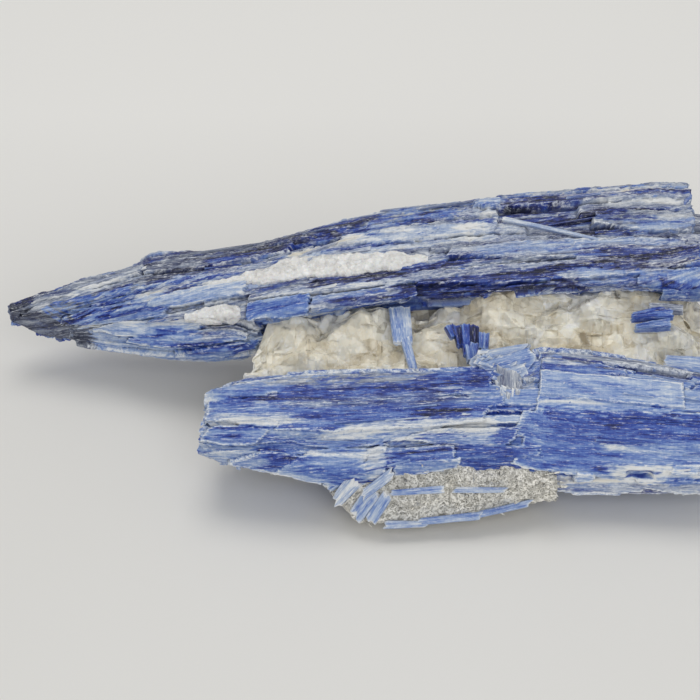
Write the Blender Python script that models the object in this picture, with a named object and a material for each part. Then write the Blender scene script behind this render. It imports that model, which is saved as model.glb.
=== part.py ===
"""Kyanite blade cluster: two bundles of parallel kyanite blades that meet at a slight angle, a mass of
granular quartz between and under them, smaller kyanite crystals in the quartz, and a pale crust.

Blender 4.5.  The sizes below are in millimetres and the model is built in metres, +Z up.  X runs along
the blades, Y from the front bundle to the back one, and Z = 0 is the surface that the quartz rests on.
The origin of the part is under the middle of its footprint.
"""
import bmesh
import bpy
from mathutils import Vector, noise

MM = 0.001
GAP = 0.35                                    # clearance between two minerals that touch
FLOOR_GAP = 1.0                               # the blades stay this far above the surface
SINK = 2.6                                    # how deep a blade is rooted in its bundle
END_SLANT = 0.22                              # a blade breaks off this much aslant, as a share of its width
CRYSTAL_UP = Vector((0.0, -0.35, 1.0))        # the way that the flat side of a free crystal faces
CUTTER_SPREAD = 1.4                           # a cutter grows by this many gaps, as its sides slope
FOOTPRINT_MIDDLE = Vector((7.0, 1.64, 0.0))   # middle of the footprint, in the coordinates below

# A cross-section of a bundle is laid out from its toe (low front edge) to its ridge (high rear edge).
# Each point is (share of the way from toe to ridge, share of the thickness outwards).
FRONT_PROFILE = [(0.0, 0.0), (0.16, 0.30), (0.48, 0.40), (0.80, 0.26), (1.0, 0.0),
                 (1.06, -0.30), (0.85, -0.80), (0.45, -0.92), (0.08, -0.50)]
BACK_PROFILE = [(0.0, 0.0), (0.0, 0.30), (0.28, 0.40), (0.58, 0.36), (0.84, 0.22), (1.0, 0.0),
                (1.04, -0.25), (0.95, -0.75), (0.55, -1.0), (0.12, -0.60)]
FRONT_RIDGE = 4                               # number of the ridge point in each profile
BACK_RIDGE = 5

# Stations along a bundle: x, toe (y, z), ridge (y, z), thickness, backward lean of the front wall,
# and how much further along x the ridge is than the toe.
FRONT_LEFT_STATIONS = [
    (-29.3, (-25.3, 12.4), (-16.6, 18.9), 8.0, 0.0, 1.0),
    (-27.5, (-26.8, 11.2), (-15.2, 19.6), 10.0, 0.0, 0.5),
    (-24.0, (-28.0, 10.4), (-13.4, 20.6), 11.5, 0.0, 0.0),
    (-17.0, (-28.8, 10.3), (-13.0, 21.5), 12.5, 0.0, 0.0),
    (-8.0, (-30.0, 7.9), (-13.2, 21.8), 13.0, 0.0, 0.0),
    (1.0, (-30.5, 7.0), (-13.0, 21.9), 13.0, 0.0, 0.0),
    (12.0, (-29.8, 9.3), (-12.5, 21.8), 13.0, 0.0, 0.0),
    (25.0, (-29.0, 10.2), (-12.0, 22.2), 13.0, 0.0, 0.0),
    (37.0, (-29.0, 9.0), (-12.0, 22.2), 12.0, 0.0, 0.0),
]
FRONT_RIGHT_STATIONS = [
    (28.4, (-28.4, 9.4), (-10.6, 23.2), 11.0, 0.0, 6.6),
    (30.0, (-29.4, 8.0), (-9.6, 23.9), 12.5, 0.0, 6.0),
    (38.0, (-29.7, 5.6), (-9.2, 24.2), 13.5, 0.0, 0.0),
    (49.0, (-30.0, 5.9), (-9.9, 23.8), 13.5, 0.0, 0.0),
    (60.0, (-31.0, 6.7), (-11.4, 22.8), 13.0, 0.0, 0.0),
    (69.0, (-31.5, 8.0), (-12.9, 21.7), 12.0, 0.0, 0.0),
    (78.0, (-32.0, 9.5), (-14.5, 21.1), 10.5, 0.0, 0.0),
    (82.5, (-30.8, 11.2), (-16.6, 20.4), 8.5, 0.0, 1.5),
]
BACK_STATIONS = [
    (-70.8, (14.2, 12.0), (16.6, 15.4), 3.0, 0.45, 0.0),
    (-69.0, (13.6, 11.2), (16.6, 16.0), 4.0, 0.55, 0.0),
    (-64.0, (12.0, 9.4), (18.5, 17.0), 6.5, 0.45, 0.0),
    (-55.0, (11.0, 9.2), (19.8, 20.0), 8.5, 0.22, 0.0),
    (-50.0, (10.4, 11.2), (20.4, 20.8), 9.0, 0.10, 0.0),
    (-45.0, (9.8, 13.6), (21.4, 22.0), 9.5, 0.04, 0.0),
    (-41.0, (9.0, 15.4), (22.9, 24.0), 10.0, 0.0, 0.0),
    (-28.0, (6.6, 17.6), (23.4, 24.4), 11.0, 0.0, 0.0),
    (-17.0, (4.8, 19.6), (25.0, 25.7), 12.0, -0.02, 0.0),
    (-13.0, (4.8, 20.7), (26.1, 26.5), 12.5, -0.02, 0.0),
    (-1.0, (5.4, 22.9), (29.0, 28.5), 13.0, -0.02, 0.0),
    (10.0, (6.4, 24.0), (30.8, 30.0), 13.0, -0.02, 0.0),
    (26.0, (6.9, 24.3), (32.2, 31.0), 13.0, -0.02, 0.0),
    (29.0, (7.2, 24.6), (32.7, 31.8), 13.0, -0.02, 0.0),
    (44.0, (8.6, 25.5), (33.8, 32.2), 13.0, -0.02, 0.0),
    (60.0, (8.7, 25.5), (35.9, 32.6), 13.0, -0.02, 0.0),
    (70.2, (7.9, 24.6), (36.8, 32.4), 12.0, 0.0, 0.8),
]
BACK_LOBE_STATIONS = [
    (-58.0, (11.2, 9.8), (14.0, 13.4), 3.0, 0.0, 0.0),
    (-52.0, (10.0, 9.4), (14.5, 15.0), 5.0, 0.0, 0.0),
    (-45.0, (8.0, 9.8), (13.6, 17.4), 7.0, 0.0, 0.0),
    (-38.0, (6.0, 10.0), (12.8, 18.4), 8.0, 0.0, 0.0),
    (-28.0, (4.4, 11.0), (11.4, 19.6), 9.0, 0.0, 0.0),
    (-21.0, (4.0, 12.0), (11.0, 20.0), 9.0, 0.0, 0.0),
    (-17.6, (5.2, 13.6), (10.6, 19.4), 8.0, 0.0, -1.5),
]

# Blades that stand out of a bundle: from (x, share) to (x, share), width, height above the bundle,
# and how far the blade narrows at either end.  A share over 1 is on the hidden side.
FRONT_LEFT_BLADES = [
    (-21.5, 0.88, 27.5, 0.90, 4.4, 0.35, 0.5, 0.9),
    (-27.0, 0.74, 22.0, 0.80, 4.2, 0.5, 0.6, 0.8),
    (-28.0, 0.60, 30.0, 0.67, 3.8, 0.7, 0.6, 0.6),
    (-14.5, 0.45, 26.5, 0.53, 4.8, 1.0, 0.4, 0.8),
    (-27.8, 0.34, -18.5, 0.36, 5.6, 0.6, 0.5, 0.7),
    (-24.3, 0.12, -16.5, 0.14, 5.0, 0.8, 0.5, 1.0),
    (-17.6, 0.22, -7.5, 0.25, 5.0, 1.0, 0.8, 0.5),
    (-13.8, 0.14, 2.6, 0.20, 7.0, 1.4, 0.5, 1.0),
    (2.3, 0.20, 7.2, 0.22, 6.8, 1.1, 1.0, 0.8),
    (6.2, 0.20, 18.2, 0.21, 4.2, 1.0, 0.9, 0.7),
    (16.5, 0.36, 30.0, 0.34, 4.4, 0.8, 0.8, 1.0),
    (-12.0, 1.15, 30.0, 1.20, 6.0, 0.8, 0.5, 0.8),
    (-25.0, 1.42, 8.0, 1.45, 5.5, 0.9, 0.5, 0.7),
    (-20.0, 1.72, 26.0, 1.70, 5.5, 0.7, 0.6, 0.9),
]
FRONT_RIGHT_BLADES = [
    (31.0, 0.23, 76.0, 0.28, 6.0, 0.7, 0.8, 0.6),
    (30.2, 0.42, 83.0, 0.50, 6.6, 1.1, 0.8, 0.9),
    (33.6, 0.63, 83.5, 0.64, 5.0, 0.8, 0.9, 0.7),
    (35.6, 0.79, 65.0, 0.76, 4.0, 1.3, 1.0, 0.8),
    (36.2, 0.92, 54.0, 0.89, 3.6, 0.7, 1.0, 0.5),
    (34.6, 0.99, 83.0, 0.96, 2.4, 0.7, 0.9, 0.6),
    (26.4, 0.94, 35.6, 0.99, 4.4, 0.6, 0.6, 0.9),
    (31.2, 0.84, 36.2, 0.84, 6.6, 0.6, 0.9, 1.0),
    (39.0, 0.06, 57.5, 0.07, 3.4, 0.8, 0.5, 0.7),
    (55.0, 0.09, 82.0, 0.10, 3.4, 0.9, 0.7, 0.7),
    (32.0, 1.22, 80.0, 1.20, 5.6, 0.8, 0.7, 0.6),
    (34.0, 1.60, 78.0, 1.62, 6.0, 0.8, 0.7, 0.6),
]
BACK_BLADES = [
    (-66.0, 0.84, -43.0, 0.84, 3.4, 0.6, 0.4, 0.8),
    (-62.0, 0.60, -42.0, 0.56, 2.6, 0.5, 0.4, 0.8),
    (-60.0, 0.10, -37.0, 0.18, 3.2, 0.8, 0.4, 0.9),
    (-41.0, 0.25, -21.0, 0.33, 3.2, 1.1, 0.5, 0.9),
    (-42.0, 0.76, -12.0, 0.72, 4.0, 0.7, 0.4, 0.7),
    (-38.0, 0.95, -16.0, 0.94, 3.0, 0.3, 0.5, 0.8),
    (-20.0, 0.90, 6.0, 0.88, 4.4, 0.6, 0.5, 0.7),
    (-20.8, 0.07, -8.2, 0.05, 3.8, 1.2, 0.9, 1.0),
    (-20.5, 0.21, 24.0, 0.17, 2.6, 0.8, 0.6, 0.7),
    (-8.0, 0.05, 13.5, 0.04, 3.0, 0.7, 0.9, 0.8),
    (-2.0, 0.62, 30.0, 0.60, 4.4, 0.8, 0.5, 0.7),
    (0.0, 0.95, 27.0, 0.95, 3.4, 0.4, 0.5, 0.8),
    (14.0, 0.12, 64.0, 0.14, 4.2, 0.9, 0.6, 0.8),
    (20.0, 0.36, 68.0, 0.32, 5.0, 0.8, 0.5, 0.8),
    (26.0, 0.88, 31.2, 0.86, 4.4, 0.9, 0.8, 1.0),
    (30.5, 0.95, 70.4, 0.94, 2.8, 0.5, 1.0, 1.0),
    (30.8, 0.83, 71.0, 0.82, 2.8, 0.6, 1.0, 1.0),
    (31.8, 0.62, 51.0, 0.34, 1.8, 1.3, 0.7, 0.5),
    (50.0, 0.58, 77.0, 0.52, 6.0, 0.8, 0.6, 0.8),
    (46.0, 0.22, 81.0, 0.24, 5.0, 1.0, 0.6, 0.8),
    (58.0, 0.04, 79.0, 0.06, 4.6, 0.9, 0.7, 0.8),
    (-48.0, 1.20, 6.0, 1.18, 5.0, 0.8, 0.4, 0.7),
    (-8.0, 1.28, 66.0, 1.24, 5.4, 0.9, 0.6, 0.8),
    (-56.0, 1.55, -6.0, 1.50, 5.6, 0.8, 0.3, 0.8),
    (0.0, 1.46, 72.0, 1.50, 6.4, 0.9, 0.6, 0.7),
    (-50.0, 1.78, 10.0, 1.76, 5.0, 0.7, 0.4, 0.8),
    (14.0, 1.74, 76.0, 1.72, 6.2, 1.0, 0.6, 0.7),
]
BACK_LOBE_BLADES = [
    (-53.0, 0.52, -30.0, 0.66, 3.0, 1.2, 0.3, 0.7),
    (-46.0, 0.30, -20.5, 0.40, 3.2, 1.0, 0.4, 0.7),
    (-36.0, 0.08, -18.8, 0.16, 3.0, 0.8, 0.4, 0.6),
    (-34.5, 0.78, -19.0, 0.60, 2.8, 1.4, 0.6, 0.8),
    (-46.0, 1.50, -20.0, 1.50, 4.4, 0.7, 0.5, 0.8),
]

# Lenses of granular quartz set in the back bundle: x, share, half of the width.
UPPER_LENS = [(-30.0, 0.40, 0.6), (-19.0, 0.45, 1.8), (-10.0, 0.43, 2.8), (0.0, 0.34, 2.9),
              (9.0, 0.30, 2.3), (16.0, 0.29, 0.7)]
LOWER_LENS = [(-33.5, 0.05, 0.7), (-29.5, 0.06, 1.8), (-25.0, 0.07, 2.0), (-21.8, 0.08, 0.9)]
LENSES = {"upper_quartz_lens": UPPER_LENS, "lower_quartz_lens": LOWER_LENS}
LENS_PROUD = 0.7                              # how far a lens stands out of the bundle
LENS_EDGE = 0.1                               # the same at its edge
LENS_DEPTH = 2.2                              # how far it reaches in
LENS_FULL = 1.5                               # half widths below this make the lens shallower
LENS_LUMP = 2.4
LENS_LUMP_HEIGHT = 0.5
LENS_DETAIL = (3, 2)

# The quartz: x, then the outline (y, z) from the front of its flat base round over the valley between
# the bundles to the back of the base.
QUARTZ_STATIONS = [
    (-22.2, [(-13, 7), (-13, 12), (-10.5, 15), (-9, 16), (-7, 16), (-5, 15), (-4, 14), (-5, 11), (-8, 7)]),
    (-20.4, [(-16, 0), (-15, 9), (-11, 16), (-8, 18), (-5, 18.6), (-2, 18), (2, 14), (2, 8), (-2, 0)]),
    (-13.0, [(-18, 0), (-15, 10), (-8, 17.6), (-3.5, 19.4), (1.5, 20.8), (5, 20.6), (12, 16), (13, 8), (9, 0)]),
    (-6.0, [(-19, 0), (-16, 10), (-8.5, 18), (-3, 19.6), (3, 21.6), (8, 22.4), (20, 17), (24, 8), (19, 0)]),
    (6.0, [(-21, 0), (-17, 10), (-8, 17.4), (-3, 19.4), (3.5, 21.8), (8.5, 22.8), (23, 18), (27, 9), (22, 0)]),
    (14.0, [(-21, 0), (-17, 10), (-8.2, 17.4), (-3, 19.3), (3, 21.4), (8, 22.4), (24, 18), (28, 9), (23, 0)]),
    (22.0, [(-21, 0), (-16, 11), (-7.5, 17.6), (-2, 20), (4, 22.8), (9, 24), (26, 19), (29, 9), (24, 0)]),
    (40.0, [(-20, 0), (-15, 11), (-5, 18.4), (-0.5, 20.8), (5, 24.2), (10, 25.4), (27, 20), (30, 9), (24, 0)]),
    (50.0, [(-19, 0), (-16, 10.5), (-6, 17.8), (-1, 20.9), (4, 25.2), (9, 28.2), (27, 21), (29, 9), (23, 0)]),
    (60.0, [(-19, 0), (-16, 10), (-7, 17.2), (-1.5, 20.6), (3.5, 25), (9, 28), (26, 21), (27, 9), (21, 0)]),
    (68.0, [(-16, 0), (-16, 9), (-9, 16), (-3.5, 18.6), (3, 22.6), (9, 24.5), (24, 19), (24, 9), (17, 0)]),
    (75.5, [(-8, 6), (-11, 10), (-9, 14), (-4, 16.5), (2, 19.5), (8, 20.5), (16, 17), (16, 11), (9, 6)]),
]
# The crust under the toe of the front bundle: x, then its outline (y, z).
CRUST_STATIONS = [
    (-5.0, [(-28.0, 9.4), (-30.8, 8.4), (-31.9, 6.0), (-29.0, 4.6), (-26.0, 6.0)]),
    (1.0, [(-27.0, 12.4), (-31.4, 9.2), (-34.9, 3.3), (-30.0, 1.9), (-22.0, 4.0)]),
    (6.0, [(-25.5, 15.4), (-30.7, 11.5), (-35.3, 3.1), (-30.5, 1.0), (-20.0, 3.0)]),
    (13.0, [(-25.5, 16.0), (-30.6, 12.0), (-34.8, 3.5), (-30.0, 1.2), (-20.0, 3.4)]),
    (18.0, [(-26.0, 15.0), (-30.7, 11.3), (-34.0, 4.0), (-29.5, 2.2), (-20.0, 4.0)]),
    (25.0, [(-26.0, 14.6), (-30.8, 10.6), (-33.9, 4.1), (-29.5, 2.0), (-20.0, 4.0)]),
    (31.0, [(-27.5, 13.0), (-30.9, 11.0), (-32.6, 5.0), (-29.0, 3.4), (-22.0, 5.0)]),
    (40.0, [(-29.0, 10.4), (-31.4, 9.2), (-31.2, 5.6), (-28.5, 4.4), (-25.0, 6.0)]),
]

# Free crystals: from (x, y, z) to (x, y, z), width, thickness, narrowing at either end.
CROSS_BLADE = [
    ((10.0, 5.6, 23.6), (10.6, -2.0, 20.7), 4.2, 1.4, 1.0, 0.95),
    ((11.0, -0.8, 21.2), (12.8, -9.2, 18.8), 2.0, 1.3, 1.0, 0.8),
]
STUB_CRYSTALS = [
    ((21.8, 0.8, 22.8), (23.4, -4.2, 20.2), 6.0, 2.4, 1.0, 0.4),
    ((25.8, -0.4, 22.1), (25.6, -3.4, 20.2), 3.0, 2.6, 1.0, 0.9),
    ((24.2, -2.6, 21.2), (24.4, -6.4, 19.4), 3.0, 2.4, 1.0, 0.8),
]
END_BLADES = [
    ((56.6, 2.2, 24.7), (66.6, 2.8, 25.1), 3.4, 2.8, 0.8, 1.0),
    ((57.4, -0.2, 23.2), (65.4, 0.2, 23.6), 2.8, 2.6, 0.7, 0.9),
]
LOW_END_BLADE = [
    ((62.5, -7.4, 18.0), (73.0, -8.6, 17.2), 4.0, 3.0, 0.7, 0.9),
]
SMALL_CRYSTALS = {"cross_blade": CROSS_BLADE, "stub_crystals": STUB_CRYSTALS, "end_blades": END_BLADES,
                  "low_end_blade": LOW_END_BLADE}

LUMP = 6.0                                    # size of a quartz grain
LUMP_HEIGHT = 1.5
LOT_SPACING = 7.3                             # spreads the seeds of the grains before one is drawn
LOWEST_LOT = -0.4                             # a grain stands out by this much to 0.6 of the lump height
DOME = 0.8                                    # the middle of a grain stands out by this share more
DOME_FALL = 1.2                               # and this is how fast that falls towards its rim
CLEAR_OF_BASE = 0.3                           # no moved point comes nearer the base than this
FLAT_TOLERANCE = 0.01
CRUST_LUMP = 3.2
CRUST_LUMP_HEIGHT = 0.9
QUARTZ_DETAIL = (4, 3)                        # steps between stations, and along each side of a ring
CRUST_DETAIL = (3, 3)


def clear_scene():
    for obj in list(bpy.data.objects):
        bpy.data.objects.remove(obj)


def make_material(name, color, roughness):
    material = bpy.data.materials.new(name)
    material.use_nodes = True
    shader = material.node_tree.nodes["Principled BSDF"]
    shader.inputs["Base Color"].default_value = (*color, 1.0)
    shader.inputs["Roughness"].default_value = roughness
    shader.inputs["Metallic"].default_value = 0.0
    return material


def finish_mesh(name, bm, collection):
    """Turns millimetres about the drawing's origin into metres about the part's own, as an object."""
    for vertex in bm.verts:
        vertex.co = (vertex.co - FOOTPRINT_MIDDLE) * MM
    bmesh.ops.recalc_face_normals(bm, faces=bm.faces)
    mesh = bpy.data.meshes.new(name)
    bm.to_mesh(mesh)
    bm.free()
    obj = bpy.data.objects.new(name, mesh)
    collection.objects.link(obj)
    return obj


def section(station, profile):
    """The points (x, y, z) of one cross-section, in millimetres."""
    x, toe, ridge, thickness, lean, slant = station
    toe, ridge = Vector(toe), Vector(ridge)
    along = ridge - toe
    out = Vector((-along.y, along.x)).normalized() * thickness
    points = []
    for share, depth in profile:
        if depth > 0.0:
            share = lean + (1.0 - lean) * share
        point = toe + along * share + out * depth
        points.append(Vector((x + slant * share, point.x, max(point.y, FLOOR_GAP))))
    return points


def station_at(stations, x):
    """The station at any x, between the two that are given on either side of it."""
    for low, high in zip(stations, stations[1:]):
        if x <= high[0] or high is stations[-1]:
            t = max(0.0, (x - low[0]) / (high[0] - low[0]))
            mixed = [Vector(a).lerp(Vector(b), t) for a, b in zip(low[1:3], high[1:3])]
            rest = [a + (b - a) * t for a, b in zip(low[3:5], high[3:5])]
            return (x, *mixed, *rest, 0.0)
    return stations[0]


def surface_point(stations, profile, ridge_number, x, share):
    """A point of the bundle's surface; share runs 0 to 1 over the top and 1 to 2 over the back."""
    points = section(station_at(stations, x), profile)
    if share <= 1.0:
        for number in range(ridge_number):
            low, high = profile[number][0], profile[number + 1][0]
            if high > low and share <= high:
                t = max(0.0, (share - low) / (high - low))
                return points[number].lerp(points[number + 1], t)
        return points[ridge_number]
    hidden = points[ridge_number:] + points[:1]
    place = (share - 1.0) * (len(hidden) - 1)
    number = min(int(place), len(hidden) - 2)
    return hidden[number].lerp(hidden[number + 1], place - number)


def outward(stations, profile, ridge_number, x, share):
    """The direction that points straight out of the bundle at one of its surface points."""
    here = surface_point(stations, profile, ridge_number, x, share - 0.05)
    there = surface_point(stations, profile, ridge_number, x, share + 0.05)
    across = there - here
    return Vector((0.0, -across.z, across.y)).normalized()


def grow_ring(ring, amount):
    """The ring moved outwards from its own middle."""
    middle = sum(ring, Vector()) / len(ring)
    return [point + (point - middle).normalized() * amount for point in ring]


def spread_rings(rings, grow):
    """The rings of a loft that stands clear of the given one by about grow all round."""
    if grow == 0.0:
        return rings
    rings = [grow_ring(ring, grow * CUTTER_SPREAD) for ring in rings]
    rings[0] = [point - Vector((grow, 0.0, 0.0)) for point in rings[0]]
    rings[-1] = [point + Vector((grow, 0.0, 0.0)) for point in rings[-1]]
    return rings


def loft_faces(rings):
    """A closed solid through rings that have the same number of points."""
    bm = bmesh.new()
    loops = [[bm.verts.new(point) for point in ring] for ring in rings]
    for first, second in zip(loops, loops[1:]):
        for i in range(len(first)):
            j = (i + 1) % len(first)
            bm.faces.new((first[i], first[j], second[j], second[i]))
    for end in (loops[0], loops[-1]):
        tip = bm.verts.new(sum((vertex.co for vertex in end), Vector()) / len(end))
        for i, vertex in enumerate(end):
            bm.faces.new((vertex, end[(i + 1) % len(end)], tip))
    return bm


def bundle_core(name, stations, profile, collection, grow=0.0):
    bm = loft_faces(spread_rings([section(station, profile) for station in stations], grow))
    bmesh.ops.triangulate(bm, faces=bm.faces)
    return finish_mesh(name, bm, collection)


def lath(name, start, end, up, width, height, depth, narrow, collection, grow=0.0):
    """A flat crystal from start to end: height above that line, depth below it, narrowed ends."""
    along = (end - start).normalized()
    across = up.cross(along).normalized()
    up = along.cross(across)
    start = start - along * grow
    end = end + along * grow
    bm = bmesh.new()
    bmesh.ops.create_cube(bm, size=2.0)
    for vertex in bm.verts:
        at_end = vertex.co.x > 0
        half = 0.5 * width * (narrow[1] if at_end else narrow[0]) + grow
        rise = height + grow if vertex.co.z > 0 else -depth - grow
        slant = END_SLANT * width * vertex.co.y
        place = (end if at_end else start) + along * slant
        vertex.co = place + across * (half * vertex.co.y) + up * rise
    return finish_mesh(name, bm, collection)


def bundle_laths(name, rows, stations, profile, ridge_number, collection, grow=0.0):
    for number, (x_a, share_a, x_b, share_b, width, proud, narrow_a, narrow_b) in enumerate(rows):
        start = surface_point(stations, profile, ridge_number, x_a, share_a)
        end = surface_point(stations, profile, ridge_number, x_b, share_b)
        up_a = outward(stations, profile, ridge_number, x_a, share_a)
        up_b = outward(stations, profile, ridge_number, x_b, share_b)
        up = (up_a + up_b).normalized()
        lath(f"{name}_{number}", start, end, up, width, proud, SINK, (narrow_a, narrow_b),
             collection, grow)


def free_laths(name, rows, collection, grow=0.0):
    for number, (start, end, width, thickness, narrow_a, narrow_b) in enumerate(rows):
        lath(f"{name}_{number}", Vector(start), Vector(end), CRYSTAL_UP, width, 0.5 * thickness,
             0.5 * thickness, (narrow_a, narrow_b), collection, grow)


def lens(name, rows, collection, grow=0.0):
    """A low mound of quartz let into the surface of the back bundle."""
    rings = []
    for x, share, half in rows:
        middle = surface_point(BACK_STATIONS, BACK_PROFILE, BACK_RIDGE, x, share)
        up = outward(BACK_STATIONS, BACK_PROFILE, BACK_RIDGE, x, share)
        side = Vector((0.0, up.z, -up.y))
        depth = LENS_DEPTH * min(1.0, half / LENS_FULL)
        corners = [(-1.0, LENS_EDGE), (-0.5, LENS_PROUD), (0.5, LENS_PROUD), (1.0, LENS_EDGE),
                   (0.6, -depth), (-0.6, -depth)]
        rings.append([middle + side * half * across + up * height for across, height in corners])
    rings = lumpy(refine(rings, *LENS_DETAIL), LENS_LUMP, LENS_LUMP_HEIGHT, FLOOR_GAP)
    bm = loft_faces(spread_rings(rings, grow))
    bmesh.ops.triangulate(bm, faces=bm.faces)
    return finish_mesh(name, bm, collection)


def fill_collections(grown):
    """The pieces of each bundle and crystal group, in a collection each; grown ones are cutters."""
    grow = GAP if grown else 0.0
    label = "grown" if grown else "blades"
    sets = {}
    for name in ("front", "back", "crust", "lenses", *SMALL_CRYSTALS):
        sets[name] = bpy.data.collections.new(f"{name}_{label}")
        bpy.context.scene.collection.children.link(sets[name])
    bundle_core(f"front_right_{label}", FRONT_RIGHT_STATIONS, FRONT_PROFILE, sets["front"], grow)
    bundle_core(f"back_lobe_{label}", BACK_LOBE_STATIONS, FRONT_PROFILE, sets["back"], grow)
    if grown:
        bundle_core("front_left_grown", FRONT_LEFT_STATIONS, FRONT_PROFILE, sets["front"], grow)
        bundle_core("back_grown_core", BACK_STATIONS, BACK_PROFILE, sets["back"], grow)
    bundle_laths(f"front_left_{label}", FRONT_LEFT_BLADES, FRONT_LEFT_STATIONS, FRONT_PROFILE,
                 FRONT_RIDGE, sets["front"], grow)
    bundle_laths(f"front_right_{label}", FRONT_RIGHT_BLADES, FRONT_RIGHT_STATIONS, FRONT_PROFILE,
                 FRONT_RIDGE, sets["front"], grow)
    bundle_laths(f"back_{label}", BACK_BLADES, BACK_STATIONS, BACK_PROFILE, BACK_RIDGE,
                 sets["back"], grow)
    bundle_laths(f"back_lobe_{label}", BACK_LOBE_BLADES, BACK_LOBE_STATIONS, FRONT_PROFILE,
                 FRONT_RIDGE, sets["back"], grow)
    for name, rows in SMALL_CRYSTALS.items():
        free_laths(f"{name}_{label}", rows, sets[name], grow)
    if grown:
        for name, rows in LENSES.items():
            lens(f"{name}_grown", rows, sets["lenses"], grow)
        rock("crust_grown", CRUST_STATIONS, CRUST_LUMP, CRUST_LUMP_HEIGHT, FLOOR_GAP, CRUST_DETAIL,
             sets["crust"], grow)
    for collection in sets.values():
        for obj in collection.objects:
            obj.hide_render = True
            obj.display_type = "WIRE"
    return sets


def combine(obj, collection, operation):
    modifier = obj.modifiers.new(operation.lower(), "BOOLEAN")
    modifier.operation = operation
    modifier.operand_type = "COLLECTION"
    modifier.collection = collection
    modifier.solver = "EXACT"


def settle(obj, keep_largest=False):
    """Applies the modifiers; with keep_largest, crumbs cut loose by a Boolean are dropped."""
    graph = bpy.context.evaluated_depsgraph_get()
    mesh = bpy.data.meshes.new_from_object(obj.evaluated_get(graph))
    obj.modifiers.clear()
    bm = bmesh.new()
    bm.from_mesh(mesh)
    if keep_largest:
        islands = find_islands(bm)
        largest = max(islands, key=lambda island: volume(island))
        loose = [vertex for island in islands if island is not largest for vertex in island]
        bmesh.ops.delete(bm, geom=loose, context="VERTS")
    bmesh.ops.triangulate(bm, faces=bm.faces)
    bm.to_mesh(mesh)
    bm.free()
    obj.data = mesh


def find_islands(bm):
    left = set(bm.verts)
    islands = []
    while left:
        queue = [left.pop()]
        island = set(queue)
        while queue:
            for edge in queue.pop().link_edges:
                for vertex in edge.verts:
                    if vertex in left:
                        left.discard(vertex)
                        island.add(vertex)
                        queue.append(vertex)
        islands.append(island)
    return islands


def volume(island):
    faces = {face for vertex in island for face in vertex.link_faces}
    total = 0.0
    for face in faces:
        corners = [vertex.co for vertex in face.verts]
        for i in range(1, len(corners) - 1):
            total += corners[0].dot(corners[i].cross(corners[i + 1])) / 6.0
    return abs(total)


def refine(rings, per_station, per_side):
    """More rings and more points on each, still on the same straight-sided form."""
    fine = []
    for first, second in zip(rings, rings[1:]):
        for step in range(per_station):
            t = step / per_station
            fine.append([a.lerp(b, t) for a, b in zip(first, second)])
    fine.append(rings[-1])
    result = []
    for ring in fine:
        points = []
        for a, b in zip(ring, ring[1:] + ring[:1]):
            points += [a.lerp(b, step / per_side) for step in range(per_side)]
        result.append(points)
    return result


def lumpy(rings, size, height, floor):
    """Pushes each point in or out by the grain that it falls in; the flat base stays flat."""
    for number, ring in enumerate(rings):
        middle = sum(ring, Vector()) / len(ring)
        for i, point in enumerate(ring):
            if point.z < floor + FLAT_TOLERANCE:
                continue
            distances, seeds = noise.voronoi(point / size)
            lot = noise.cell(seeds[0] * LOT_SPACING) + LOWEST_LOT
            dome = DOME - DOME_FALL * distances[0]
            out = (point - middle).normalized()
            moved = point + out * height * (lot + dome)
            ring[i] = Vector((moved.x, moved.y, max(moved.z, floor + CLEAR_OF_BASE)))
    return rings


def rock(name, stations, size, height, floor, detail, collection, grow=0.0):
    rings = [[Vector((x, y, z)) for y, z in outline] for x, outline in stations]
    rings = lumpy(refine(rings, *detail), size, height, floor)
    bm = loft_faces(spread_rings(rings, grow))
    bmesh.ops.triangulate(bm, faces=bm.faces)
    return finish_mesh(name, bm, collection)


def main():
    clear_scene()
    cluster = bpy.data.collections.new("kyanite_blade_cluster")
    bpy.context.scene.collection.children.link(cluster)
    blue = make_material("kyanite", (0.10, 0.16, 0.42), 0.35)
    white = make_material("quartz", (0.60, 0.56, 0.48), 0.40)
    cream = make_material("crust", (0.52, 0.50, 0.46), 0.80)

    solid = fill_collections(grown=False)
    cutters = fill_collections(grown=True)

    front = bundle_core("front_blade_bundle", FRONT_LEFT_STATIONS, FRONT_PROFILE, cluster)
    combine(front, solid["front"], "UNION")
    back = bundle_core("back_blade_bundle", BACK_STATIONS, BACK_PROFILE, cluster)
    combine(back, solid["back"], "UNION")
    combine(back, cutters["lenses"], "DIFFERENCE")
    quartz = rock("quartz_matrix", QUARTZ_STATIONS, LUMP, LUMP_HEIGHT, 0.0, QUARTZ_DETAIL, cluster)
    for key, collection in cutters.items():
        if key != "lenses":
            combine(quartz, collection, "DIFFERENCE")
    crust = rock("pale_crust", CRUST_STATIONS, CRUST_LUMP, CRUST_LUMP_HEIGHT, FLOOR_GAP, CRUST_DETAIL,
                 cluster)
    combine(crust, cutters["front"], "DIFFERENCE")
    for obj in (front, back, quartz, crust):
        settle(obj, keep_largest=True)
    for name, rows in LENSES.items():
        lens(name, rows, cluster).data.materials.append(white)

    for name in SMALL_CRYSTALS:
        pieces = list(solid[name].objects)
        obj = bpy.data.objects.new(name, pieces[0].data.copy())
        cluster.objects.link(obj)
        bpy.data.objects.remove(pieces[0])
        if len(pieces) > 1:
            combine(obj, solid[name], "UNION")
        combine(obj, cutters["front"], "DIFFERENCE")
        combine(obj, cutters["back"], "DIFFERENCE")
        settle(obj, keep_largest=True)
        obj.data.materials.append(blue)
    for obj, material in ((front, blue), (back, blue), (quartz, white), (crust, cream)):
        obj.data.materials.append(material)
    for sets in (solid, cutters):
        for collection in sets.values():
            for obj in list(collection.objects):
                bpy.data.objects.remove(obj)
            bpy.data.collections.remove(collection)


main()
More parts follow.
